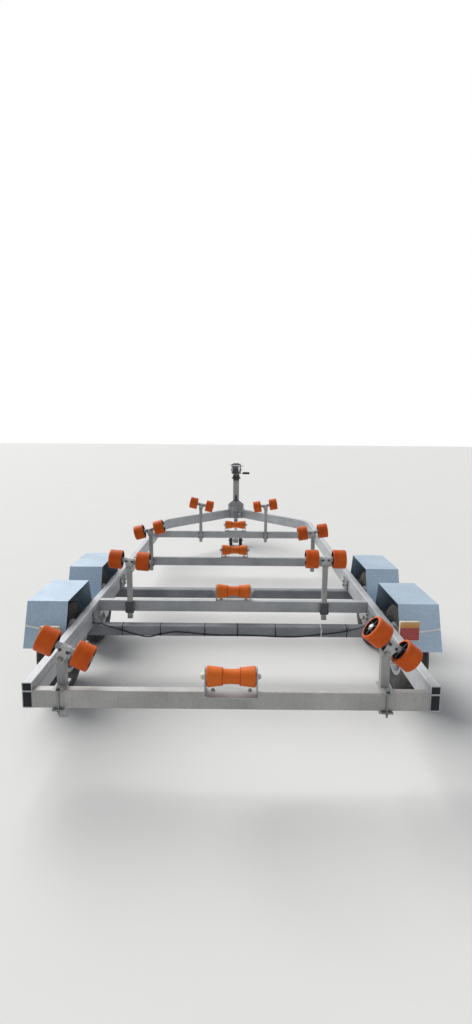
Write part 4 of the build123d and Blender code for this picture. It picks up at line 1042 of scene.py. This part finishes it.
def wheelFittings():
    dome, foot, flat = wheelTrim["dome"], wheelTrim["domeFoot"], wheelTrim["domeFlat"]
    capOutline = list(wheelTrim["capFoot"])
    for k in range(1, wheelTrim["domeSteps"] + 1):
        turn = math.pi / 2 * k / wheelTrim["domeSteps"]
        radius = flat + (wheelTrim["capRadius"] - flat) * math.cos(turn)
        capOutline.append((foot + dome * math.sin(turn), radius))
    capOutline.append((foot + dome, 0.0))
    for name in wheelNames:
        side = 1 if name.endswith("right") else -1
        centre, out, body = jointPlace(f"spin_{name}"), right * side, f"wheel_{name}"
        rows = []
        for angle in turns(wheelTrim["nuts"], wheelTrim["nutShift"]):
            spot = centre + out * wheelTrim["disc"] + swing(ahead, up, angle) * wheelTrim["nutCircle"]
            rows.append((*spot, out))
        stampBolts(f"wheelNuts_{name}", 14, rows, body)
        cap = (capOutline, centre + out * wheelTrim["cap"], out, wheelTrim["capSteps"])
        turned(f"dustCap_{name}", [cap], "bolt", body)
        valveFoot = centre + out * wheelTrim["valveFoot"]
        valveFoot += swing(ahead, up, wheelTrim["valveTurn"]) * wheelTrim["valveCircle"]
        valve = (wheelTrim["valve"], valveFoot, (side, *wheelTrim["valveLean"]), wheelTrim["valveSteps"])
        turned(f"valve_{name}", [valve], "plastic", body)


wheelFittings()
print("wheels")


# Mudguards: folded lips inside the lower edges and rivets along the fold
hem = {
    "lip": 0.014, "thick": 0.0022, "wallGap": 0.0006, "rise": 0.0003, "endGap": 0.008, "innerGap": 0.002,
    "endInset": 0.003, "chamfer": 0.0006, "rivetPitch": 0.080, "rivetDrop": 0.016, "rivetSink": 0.0012,
    "rivet": [(0, 0), (0, 0.0034), (0.0005, 0.0034), (0.0010, 0.00238), (0.0011, 0)], "rivetSteps": 10,
}


def mudguardHems():
    rivets = []
    low = guardLow.z + hem["rise"]
    high = low + hem["thick"]
    reach = guard["halfLength"] + guard["slope"]
    wall = guardHigh.x - guard["sheet"]
    for hand, side in zip(("left", "right"), sides):
        bm = bmesh.new()

        def lip(xs, ys):
            (x0, x1), (y0, y1) = sorted(side * x for x in xs), sorted(ys)
            addBlock(bm, (x0, y0, low), (x1, y1, high), hem["chamfer"])

        for spot in wheelPlaces:
            span = reach - hem["endGap"]
            lip((wall + hem["wallGap"], wall - hem["lip"]), (spot.y - span, spot.y + span))
            for end in sides:
                inner = spot.y + end * (reach - hem["endInset"])
                lip((guardLow.x + hem["innerGap"], wall - hem["lip"]), (inner, inner - end * hem["lip"]))
            for k in range(int(2 * guard["halfLength"] / hem["rivetPitch"])):
                y = spot.y - guard["halfLength"] + hem["rivetPitch"] * (k + 0.5)
                foot = (side * (guardHigh.x - hem["rivetSink"]), y, guardHigh.z - hem["rivetDrop"])
                rivets.append((hem["rivet"], foot, right * side, hem["rivetSteps"]))
        addPiece(f"mudguardHems_{hand}", bm, "sheet")
    turned("mudguardRivets", rivets, "bolt")


mudguardHems()


# Tail lamps: amber strip over a ribbed red lens, cream surround, two cover screws
lamp = {
    "half": 0.056, "depth": 0.0137, "turnIn": 0.00245,
    # profiles across the face: depth behind the lens's face and height from the lamp's middle
    "amber": [
        (0.0137, 0.0252), (0.0012, 0.0252), (0.0004, 0.029), (0.0004, 0.043), (0.0025, 0.051),
        (0.0065, 0.055), (0.0137, 0.055),
    ],
    "redTop": [(0.0137, 0.0248), (0.001, 0.0248)],
    "redFoot": [(0.0035, -0.053), (0.0065, -0.055), (0.0137, -0.055)],
    # each rib of the red lens: depth, and place as a share of the pitch
    "ribs": 5, "ribFrom": 0.0235, "ribPitch": 0.0148,
    "rib": ((0.0022, 0.12), (0.0002, 0.4), (0.0002, 0.72), (0.0022, 0.97)),
    # bars of the surround: low and high corner as place across and height
    "bars": (
        ((-0.0598, 0.0552), (0.0598, 0.0588)), ((-0.0598, -0.0588), (0.0598, -0.0552)),
        ((-0.0598, -0.0552), (-0.0562, 0.0552)), ((0.0562, -0.0552), (0.0598, 0.0552)),
    ),
    "barSpan": (0.0092, 0.0143), "barChamfer": 0.001,
    "screws": ((-0.040, 0.0012, 0.037), (0.040, 0.0012, 0.037)), "screwSteps": 12,
    "screw": [(0, 0), (0, 0.0032), (0.0006, 0.0032), (0.0011, 0.00192), (0.0011, 0)],
    # place across, place of the lens's face and height of the middle of each lamp
    "places": ((-1.101, 0.678, 0.502), (1.066, 0.696, 0.547)),
}


def lensSlab(bm, root, profile):
    # Extrudes a lens profile across X with its ends turned in
    half, inset, back = lamp["half"], lamp["turnIn"], lamp["depth"]
    loops = []
    for x, turnIn in ((-half, inset), (inset - half, 0.0), (half - inset, 0.0), (half, inset)):
        loops.append([bm.verts.new(root + Vector((x, y + min(turnIn, back - y), z))) for y, z in profile])
    bridge(bm, loops)


def tailLamps():
    ambers, reds, surround = bmesh.new(), bmesh.new(), bmesh.new()
    screws = []
    red = list(lamp["redTop"])
    for k in range(lamp["ribs"]):
        red += [(y, lamp["ribFrom"] - lamp["ribPitch"] * (k + share)) for y, share in lamp["rib"]]
    red += lamp["redFoot"]
    front, back = lamp["barSpan"]
    for x, lens, z in lamp["places"]:
        root = Vector((x, at(lens), z))
        lensSlab(ambers, root, lamp["amber"])
        lensSlab(reds, root, red)
        for (x0, z0), (x1, z1) in lamp["bars"]:
            low, high = root + Vector((x0, front, z0)), root + Vector((x1, back, z1))
            addBlock(surround, low, high, lamp["barChamfer"])
        for spot in lamp["screws"]:
            screws.append((lamp["screw"], root + Vector(spot), -ahead, lamp["screwSteps"]))
    addPiece("amberLenses", ambers, "amber")
    redPiece = addPiece("redLenses", reds, "red")
    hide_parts("lamp_lenses")
    addPiece("lampSurrounds", surround, "cream")
    turned("lampScrews", screws, "bolt")


tailLamps()
print("mudguards and lamps")


# Lamp wiring: ties that hold it to the axle tube, one of them white
tie = {
    "half": 0.00225, "thick": 0.0011, "bulge": -0.0478, "highest": 0.0252, "rise": 0.018, "side": -0.0392,
    # the tie round the axle tube as (along, up) from the tube's middle, before and after the cable
    "before": [
        (0.0252, 0.0392), (0.03514, 0.03514), (0.0392, 0.0252), (0.0392, -0.0252), (0.03514, -0.03514),
        (0.0252, -0.0392), (-0.0252, -0.0392), (-0.03514, -0.03514),
    ],
    "after": [(-0.0392, 0.0252), (-0.03514, 0.03514), (-0.0252, 0.0392)],
    # the bulge over the cable, as (along from its peak, up from the cable)
    "over": ((0.001, -0.007), (0.0, 0.0), (0.001, 0.007)), "headChamfer": 0.0008,
    # corners of the head and points of the cut tail, from the cable's place
    "head": ((-0.0040, -0.0046, 0.003), (0.0040, 0.0006, 0.0115)),
    "tail": ((0, -0.002, 0.010), (0.004, -0.008, 0.026), (0.006, -0.016, 0.044)),
    "tailRadius": 0.0014, "tailSteps": 6,
    # place across, height of the cable there, and the tie's finish
    "rows": [
        (-0.762, 0.372, "plastic"), (-0.500, 0.346, "plastic"), (-0.195, 0.346, "plastic"),
        (0.030, 0.344, "plastic"), (0.290, 0.338, "plastic"), (0.604, 0.354, "tie"),
        (0.780, 0.376, "plastic"),
    ],
}


def cableTies():
    middle = Vector((0, axlePlaces[0], axleTop - saddle["tubeHalf"]))
    step = right * tie["half"]
    meshes = {"plastic": bmesh.new(), "tie": bmesh.new()}
    for x, height, kind in tie["rows"]:
        bm = meshes[kind]
        cable = height - middle.z
        path = tie["before"] + [(tie["bulge"] + y, cable + z) for y, z in tie["over"]]
        path += [(tie["side"], min(cable + tie["rise"], tie["highest"])), *tie["after"]]
        rings = []
        for y, z in path:
            offset = Vector((0, y, z))
            spot = middle + offset + right * x
            outward = offset.normalized() * tie["thick"]
            corners = (spot - step, spot + step, spot + step + outward, spot - step + outward)
            rings.append([bm.verts.new(corner) for corner in corners])
        bridge(bm, rings, closed=True)
        root = Vector((x, middle.y + tie["bulge"], height))
        addBlock(bm, *(root + Vector(corner) for corner in tie["head"]), tie["headChamfer"])
        tail = [root + Vector(point) for point in tie["tail"]]
        tubeAlong(bm, tail, tie["tailRadius"], tie["tailSteps"])
    addPiece("blackTies", meshes["plastic"], "plastic")
    addPiece("whiteTie", meshes["tie"], "tie")


cableTies()
print("wiring ties")


# Nose: beads and bolts that tie the plates, the winch post and the drawbar together
nose = {
    "top": 0.5483, "footTop": 0.5566, "gusset": (0.118, 5.950), "braceHalf": 0.020, "postFront": 6.015,
    "braceTop": (0.875, 0.930), "bar": (0.035, 6.406), "barHeights": (0.424, 0.528),
    # height of each closed bead and its corners, as place across and place along
    "loops": [
        (0.5411, [
            (-0.124, 5.844), (0.124, 5.844), (0.124, 5.920), (0.060, 6.071), (-0.060, 6.071), (-0.124, 5.920),
        ]),
        (0.4119, [(-0.124, 5.844), (0.124, 5.844), (0.060, 6.071), (-0.060, 6.071)]),
        (0.5566, [(-0.045, 5.955), (0.045, 5.955), (0.045, 6.015), (-0.045, 6.015)]),
        (0.5483, [(-0.020, 6.235), (0.020, 6.235), (0.020, 6.285), (-0.020, 6.285)]),
    ],
    "footBolts": [(0.100, 5.893), (0.055, 6.035)],
    "plateBolts": [(0.100, 5.860), (0.022, 6.214), (0.022, 6.306)],
    "flangeBolts": [(0.036, 0.430), (0.036, 0.522)], "flange": 6.4343,
}


def noseFittings():
    lines = [[(x, at(s), z) for x, s in loop + loop[:1]] for z, loop in nose["loops"]]
    half, along = nose["gusset"]
    lines.append([(x, at(along), nose["footTop"]) for x in (-half, half)])
    low, high = nose["braceTop"]
    out, flange = nose["bar"]
    y = at(nose["postFront"])
    for side in sides:
        x = side * nose["braceHalf"]
        lines.append([(x, y, low), (x, y, high), (0, y, high)])
        lines.append([(side * out, at(flange), z) for z in nose["barHeights"]])
    addBeads("noseWelds", lines)
    stampBolts("postFootBolts", 12, mirrored([(x, at(s), nose["footTop"], up) for x, s in nose["footBolts"]]))
    plates = [(x, at(s), nose["top"], up) for x, s in nose["plateBolts"]]
    plates += [(x, at(nose["flange"]), z, ahead) for x, z in nose["flangeBolts"]]
    stampBolts("noseBolts", 10, mirrored(plates))


noseFittings()


# Coupling: head bolts, band on the housing, grease nipple, rim of the cup, sleeve on the release handle
coupling = {
    "height": 0.476, "housing": 0.038, "headHalf": 0.028, "headBolts": (6.735, 6.790),
    "bandPlace": 6.574, "nipplePlace": 6.561, "rimPlace": 6.855, "rimHeight": 0.4422,
    "band": [(0, 0.0370), (0, 0.0392), (0.0012, 0.0396), (0.0098, 0.0396), (0.011, 0.0392), (0.011, 0.0370)],
    "nipple": [
        (-0.001, 0), (-0.001, 0.0048), (0.004, 0.0048), (0.0042, 0.0032), (0.009, 0.0032), (0.0105, 0.0020),
        (0.0125, 0.0024), (0.0135, 0.0016), (0.0135, 0),
    ],
    "rim": [(0, 0.0435), (0, 0.0450), (0.0016, 0.0460), (0.0045, 0.0460), (0.0060, 0.0448), (0.0060, 0.0435)],
    "bandSteps": 48, "nippleSteps": 14, "rimSteps": 56, "sleeveHalf": 0.0104, "sleeveChamfer": 0.002,
    "sleeve": ((6.7325, 0.5614), (6.792, 0.5552), (6.792, 0.5378), (6.7290, 0.5468)),
}


def couplingFittings():
    centre = coupling["height"]
    heads = [(coupling["headHalf"], at(s), centre, right) for s in coupling["headBolts"]]
    stampBolts("couplingBolts", 12, mirrored(heads))
    nippleFoot = (0, at(coupling["nipplePlace"]), centre + coupling["housing"])
    turned("couplingBand", [
        (coupling["band"], (0, at(coupling["bandPlace"]), centre), ahead, coupling["bandSteps"]),
        (coupling["nipple"], nippleFoot, up, coupling["nippleSteps"]),
    ], "shaft")
    rimFoot = (0, at(coupling["rimPlace"]), coupling["rimHeight"])
    turned("couplingRim", [(coupling["rim"], rimFoot, up, coupling["rimSteps"])], "cast")
    bm = bmesh.new()
    half = coupling["sleeveHalf"]
    slab(bm, coupling["sleeve"], -half, half, coupling["sleeveChamfer"])
    addPiece("releaseSleeve", bm, "plastic")


couplingFittings()


# Handbrake: ribbed grip on the lever and nuts on its pivot
brake = {
    "pivot": (6.500, 0.550), "nuts": (0.0134, -0.0084), "across": 0.009, "start": (6.2550, 0.7115),
    "end": (6.372, 0.6795), "half": (0.0085, 0.0132), "steps": 16, "square": 0.6,
    # pitch of the ribs, and the places and swells along one of them, the grip's front and its end
    "pitch": 0.007, "ribFrom": 0.006, "ribs": ((0.0, 1.0), (0.55, 1.0), (0.7, 0.92), (0.85, 0.92)),
    "front": [(0.0, 0.55), (0.004, 0.9)], "plainEnd": 0.012, "tip": ((-0.003, 1.1), (0.0, 1.05)),
}


def handbrakeFittings():
    along, height = brake["pivot"]
    stampBolts("brakePivotNuts", 16, [
        (x, at(along), height, right * math.copysign(1, x)) for x in brake["nuts"]
    ])
    start, end = (Vector((brake["across"], at(s), z)) for s, z in (brake["start"], brake["end"]))
    length = (end - start).length
    axis = (end - start).normalized()
    rise = axis.cross(right)
    stations = list(brake["front"])
    for k in range(int((length - brake["plainEnd"]) / brake["pitch"])):
        for share, swell in brake["ribs"]:
            stations.append((brake["ribFrom"] + (k + share) * brake["pitch"], swell))
    stations += [(length + back, swell) for back, swell in brake["tip"]]
    bm = bmesh.new()
    rings = []
    for reach, swell in stations:
        loop = []
        for angle in turns(brake["steps"]):
            across, high = (
                math.copysign(abs(part) ** brake["square"], part) * half * swell
                for part, half in zip((math.cos(angle), math.sin(angle)), brake["half"])
            )
            loop.append(bm.verts.new(start + axis * reach + right * across + rise * high))
        rings.append(loop)
    bridge(bm, rings)
    addPiece("brakeGrip", bm, "rubber", "handbrake_lever")


handbrakeFittings()
print("nose, coupling and handbrake")


def gripRibs(grip):
    # Ribs along a lathed grip: how many, the first, their pitch, its radius and the points of one above it
    count, first, pitch, radius, rib = grip
    return [(first + k * pitch + s, radius + rise) for k in range(count) for s, rise in rib]


# Winch: wound webbing, gear marks, pawl, bolts and the crank's ribbed grip
winch = {
    "drum": (5.875, 1.142), "half": 0.0703, "core": 0.0383, "roll": 0.0452, "rollFrom": -0.050,
    "rollTo": 0.030, "rollSteps": 56, "knobSteps": 18, "gripSteps": 28,
    "layers": 5, "layerFill": 0.9, "stagger": 0.0004, "edge": 0.001,
    # reach and half width of a tooth's two ends, and its two faces
    "teeth": 44, "tooth": ((0.0415, 0.0010), (0.0478, 0.0018)), "gearFaces": (0.0556, 0.0568),
    "plate": 5.9497, "postFront": 6.0152, "boltHeights": (1.095, 1.205), "boltX": 0.028,
    "crank": (0.0953, 5.897, 1.1978), "grip": (0.0955, 5.713, 1.1038),
    "pawl": ((5.862, 1.200), (5.874, 1.206), (5.905, 1.204), (5.912, 1.214), (5.900, 1.222), (5.866, 1.217)),
    "pawlFaces": (-0.0765, -0.0712), "pawlChamfer": 0.0012, "pin": (5.870, 1.2085), "pinEnd": -0.0700,
    "pinRadius": 0.0065, "knobPlace": (5.904, 1.213),
    "knob": [
        (0, 0), (0, 0.0045), (0.010, 0.0055), (0.016, 0.0085), (0.022, 0.0088), (0.026, 0.0060), (0.027, 0),
    ],
    "gripFront": [(0, 0), (0, 0.0184), (0.003, 0.0188), (0.0045, 0.0160)],
    "gripRibs": (
        11, 0.006, 0.0082, 0.0154, ((0, 0.0001), (0.0016, 0.0012), (0.0058, 0.0012), (0.0074, 0.0001)),
    ),
    "gripEnd": [(0.0985, 0.0170), (0.1015, 0.0144), (0.1027, 0.00924), (0.1030, 0)],
}


def winchFittings():
    drum = spotAt(0, winch["drum"])
    low, high = winch["rollFrom"], winch["rollTo"]
    step = (winch["roll"] - winch["core"]) / winch["layers"]
    outline = []
    for k in range(winch["layers"]):
        inset, inner = winch["stagger"] * (k % 2), winch["core"] + step * k
        outer = inner + step * winch["layerFill"]
        outline = [(high - inset, outer), (high - inset, inner), *outline]
        outline += [(low + inset, inner), (low + inset, outer)]
    outline += [(low + winch["edge"], winch["roll"]), (high - winch["edge"], winch["roll"])]
    turned("webbingRoll", [(outline, drum, right, winch["rollSteps"])], "strap", "winch_drum")
    bm = bmesh.new()
    for turn in turns(winch["teeth"]):
        out, across = swing(ahead, up, turn), swing(up, -ahead, turn)
        closeBox(bm, [
            drum + right * x + out * radius + across * lean
            for radius, width in winch["tooth"] for lean in (-width, width) for x in winch["gearFaces"]
        ])
    addPiece("gearMarks", bm, "shaft", "winch_drum")
    bolts = [
        (winch["boltX"], at(winch[face]), z, facing)
        for face, facing in (("plate", -ahead), ("postFront", ahead)) for z in winch["boltHeights"]
    ]
    stampBolts("winchBolts", 10, mirrored(bolts))
    stampBolts("drumPinNuts", 18, mirrored([(winch["half"], drum.y, drum.z, right)]))
    crankX, *crank = winch["crank"]
    stampBolts("crankNut", 12, [(*spotAt(crankX, crank), right)], "winch_handle")
    bm = bmesh.new()
    outer, inner = winch["pawlFaces"]
    slab(bm, winch["pawl"], outer, inner, winch["pawlChamfer"])
    rod(bm, spotAt(outer, winch["pin"]), spotAt(winch["pinEnd"], winch["pin"]), winch["pinRadius"])
    addPiece("pawl", bm, "shaft")
    knob = (winch["knob"], spotAt(outer, winch["knobPlace"]), -right, winch["knobSteps"])
    turned("pawlKnob", [knob], "cream")
    gripX, *grip = winch["grip"]
    outline = winch["gripFront"] + gripRibs(winch["gripRibs"]) + winch["gripEnd"]
    crankGrip = (outline, spotAt(gripX, grip), right, winch["gripSteps"])
    turned("crankGrip", [crankGrip], "plastic", "winch_handle")


winchFittings()


# Bow stop: plated faces on its two arms and nuts on the roller's pin
stop = {
    "arm": ((5.8208, 1.020), (5.8346, 1.0364), (6.0134, 1.0504), (6.0134, 0.9896), (5.8346, 1.0036)),
    "faces": (0.0509, 0.0521), "pin": (5.835, 1.020),
}


def bowStopFittings():
    bm = bmesh.new()
    for side in sides:
        slab(bm, stop["arm"], *sorted(side * x for x in stop["faces"]))
    addPiece("stopArms", bm, "frame", smooth=False)
    stampBolts("stopNuts", 16, mirrored([(*spotAt(stop["faces"][1], stop["pin"]), right)]))


bowStopFittings()
print("winch and bow stop")


# Nose wheel: collars and cap on the tube, clamp screw, crank grip, treaded twin wheels on dished hubs
jockey = {
    "place": 5.790, "tubeTop": 0.702, "nut": 0.7162, "knob": (5.692, 0.7165), "clamp": (5.812, 0.476),
    "cap": [
        (-0.022, 0.0282), (-0.022, 0.0302), (-0.0200, 0.0310), (-0.001, 0.0310), (0.0006, 0.0295),
        (0.0008, 0.0098), (0.0, 0.0098), (0.0, 0.0282),
    ],
    # height and depth of each collar, and its inner, edge and outer radius
    "collars": ((0.300, 0.012), (0.404, 0.010), (0.534, 0.010)), "collar": (0.0278, 0.0302, 0.0310),
    "tubeSteps": 40, "screwSteps": 24, "barSteps": 12,
    "collarEdge": 0.0012, "screw": (0.033, 0.068, 0.006), "washerFrom": 0.035,
    "washer": [(0, 0.004), (0, 0.0125), (0.008, 0.0125), (0.0095, 0.011), (0.0095, 0.004)],
    "bar": ((0.064, -0.020, -0.040), (0.064, 0, 0), (0.064, 0.010, 0.048)),
    "barBend": 0.03, "barRadius": 0.0048,
    "gripFront": [(0, 0), (0, 0.0140), (0.0030, 0.0142), (0.0045, 0.0124)],
    "gripRibs": (7, 0.006, 0.0072, 0.0124, ((0, 0), (0.0014, 0.0010), (0.0050, 0.0010), (0.0064, 0))),
    "gripEnd": [(0.0594, 0.0132), (0.0621, 0.0104), (0.0629, 0.0062), (0.0629, 0)],
}


def jockeyFittings():
    middle = at(jockey["place"])
    turned("tubeCap", [(jockey["cap"], (0, middle, jockey["tubeTop"]), up, jockey["tubeSteps"])], "plastic")
    bm = bmesh.new()
    inner, rim, outer = jockey["collar"]
    edge = jockey["collarEdge"]
    for z, depth in jockey["collars"]:
        outline = [(0, inner), (0, rim), (edge, outer), (depth - edge, outer), (depth, rim), (depth, inner)]
        lathe(bm, outline, (0, middle, z), up, jockey["tubeSteps"])
    # Clamp screw with its bent handle
    start, end, radius = jockey["screw"]
    rod(bm, spotAt(start, jockey["clamp"]), spotAt(end, jockey["clamp"]), radius)
    lathe(bm, jockey["washer"], spotAt(jockey["washerFrom"], jockey["clamp"]), right, jockey["screwSteps"])
    bar = [spotAt(0, jockey["clamp"]) + Vector(point) for point in jockey["bar"]]
    tubeAlong(bm, roundedPath(bar, jockey["barBend"]), jockey["barRadius"], jockey["barSteps"])
    addPiece("tubeCollars", bm, "shaft")
    stampBolts("jockeyCrankNut", 12, [(0, middle, jockey["nut"], up)])
    outline = jockey["gripFront"] + gripRibs(jockey["gripRibs"]) + jockey["gripEnd"]
    turned("jockeyCrankGrip", [(outline, spotAt(0, jockey["knob"]), up, jockey["screwSteps"])], "plastic")


twin = {
    "axle": (5.745, 0.080), "inner": 0.0478, "outer": 0.0972, "nutGap": 0.0010,
    "tyreSteps": 72, "hubSteps": 48,
    # half sections from the middle of a wheel, as place across and radius
    "tyre": [
        (0.0247, 0.0545), (0.0247, 0.0680), (0.0225, 0.0745), (0.0180, 0.0785), (0.0132, 0.0799),
        (0.0050, 0.0799), (0.0044, 0.0783),
    ],
    "tyreMiddle": [(0.0, 0.0783)],
    "hub": [
        (0.0247, 0.0086), (0.0247, 0.0185), (0.0227, 0.0200), (0.0129, 0.0225), (0.0125, 0.0450),
        (0.0217, 0.0500), (0.0241, 0.0545),
    ],
    "spokes": 6, "spoke": ((0.0190, 0.0030), (0.0495, 0.0045)), "spokeFoot": 0.0125, "spokeHalf": 0.0022,
}


def jockeyWheels():
    centre = spotAt(0, twin["axle"])
    middle = (twin["outer"] + twin["inner"]) / 2

    def section(half, between=()):
        far = [(middle + a, radius) for a, radius in reversed(half)]
        return [(middle - a, radius) for a, radius in [*half, *between]] + far

    tyreMesh, hubs = bmesh.new(), bmesh.new()
    for side in sides:
        tyreSection = section(twin["tyre"], twin["tyreMiddle"])
        lathe(tyreMesh, tyreSection, centre, right * side, twin["tyreSteps"])
        lathe(hubs, section(twin["hub"]), centre, right * side, twin["hubSteps"])
        for face, inward in ((twin["inner"], 1), (twin["outer"], -1)):
            for turn in turns(twin["spokes"]):
                out, across = swing(ahead, up, turn), swing(up, -ahead, turn) * twin["spokeHalf"]
                closeBox(hubs, [
                    centre + right * (side * (face + inward * deep)) + out * radius + across * lean
                    for radius, high in twin["spoke"] for lean in sides for deep in (high, twin["spokeFoot"])
                ])
    tread = addPiece("jockeyTyres", tyreMesh, "rubber", "jockey_wheels")
    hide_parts("jockey_wheels")
    addPiece("jockeyHubs", hubs, "plastic", "jockey_wheels")
    nuts = [(twin["outer"] + twin["nutGap"], centre.y, centre.z, right)]
    stampBolts("jockeyAxleNuts", 16, mirrored(nuts), "jockey_fork")


jockeyFittings()
jockeyWheels()
print("nose wheel")

# Pale cap over the left nut of the rear keel roller
nut = jointPlace("keel_spin_rear") - right * (keel["outerX"] + keel["capGap"])
turned("spindleCap", [(keel["cap"], nut, -right, keel["capSteps"])], "cream")


# Finishes of the CAD nodes
def dress(node, material):
    obj = nodes[node]
    if not obj.material_slots:
        obj.data.materials.append(material)
    for slot in obj.material_slots:
        slot.material = material


coat = {
    "frame": [
        "rail_left", "rail_right", "mudguard_stays", "drawbar", "coupling_housing",
        "handbrake_mount", "handbrake_lever", "jockey_fork",
    ],
    "winch": ["winch_frame"],
    "member": ["rear_crossmember"],
    "beam": ["crossbeams", "keel_brackets"],
    "axle": ["rear_axle", "front_axle", "jockey_tube"],
    "sheet": ["mudguards_left", "mudguards_right"],
    "post": ["roller_posts", "winch_post", "nose_plates"],
    "clamp": ["post_clamps"],
    "cream": ["tail_lamps"],
    "red": ["lamp_lenses"],
    "tie": ["marker_leads"],
    "cast": ["coupling_head"],
    "rubber": ["coupling_bellows", "bow_stop", "jockey_wheels"],
    "shaft": ["jockey_leg", "winch_drum", "winch_handle"],
    "cable": ["wiring"],
}
coatOfNode = {node: kind for kind, listed in coat.items() for node in listed}
coatOfStart = {
    "rim_": "rim", "tyre_": "tyre", "rocker_": "bracket", "roller_pair_": "orange",
    "keel_roller_": "keelOrange",
}
for node in nodes:
    kind = coatOfNode.get(node)
    for start, other in coatOfStart.items():
        if node.startswith(start):
            kind = other
    dress(node, finish[kind])
print("CAD nodes dressed")
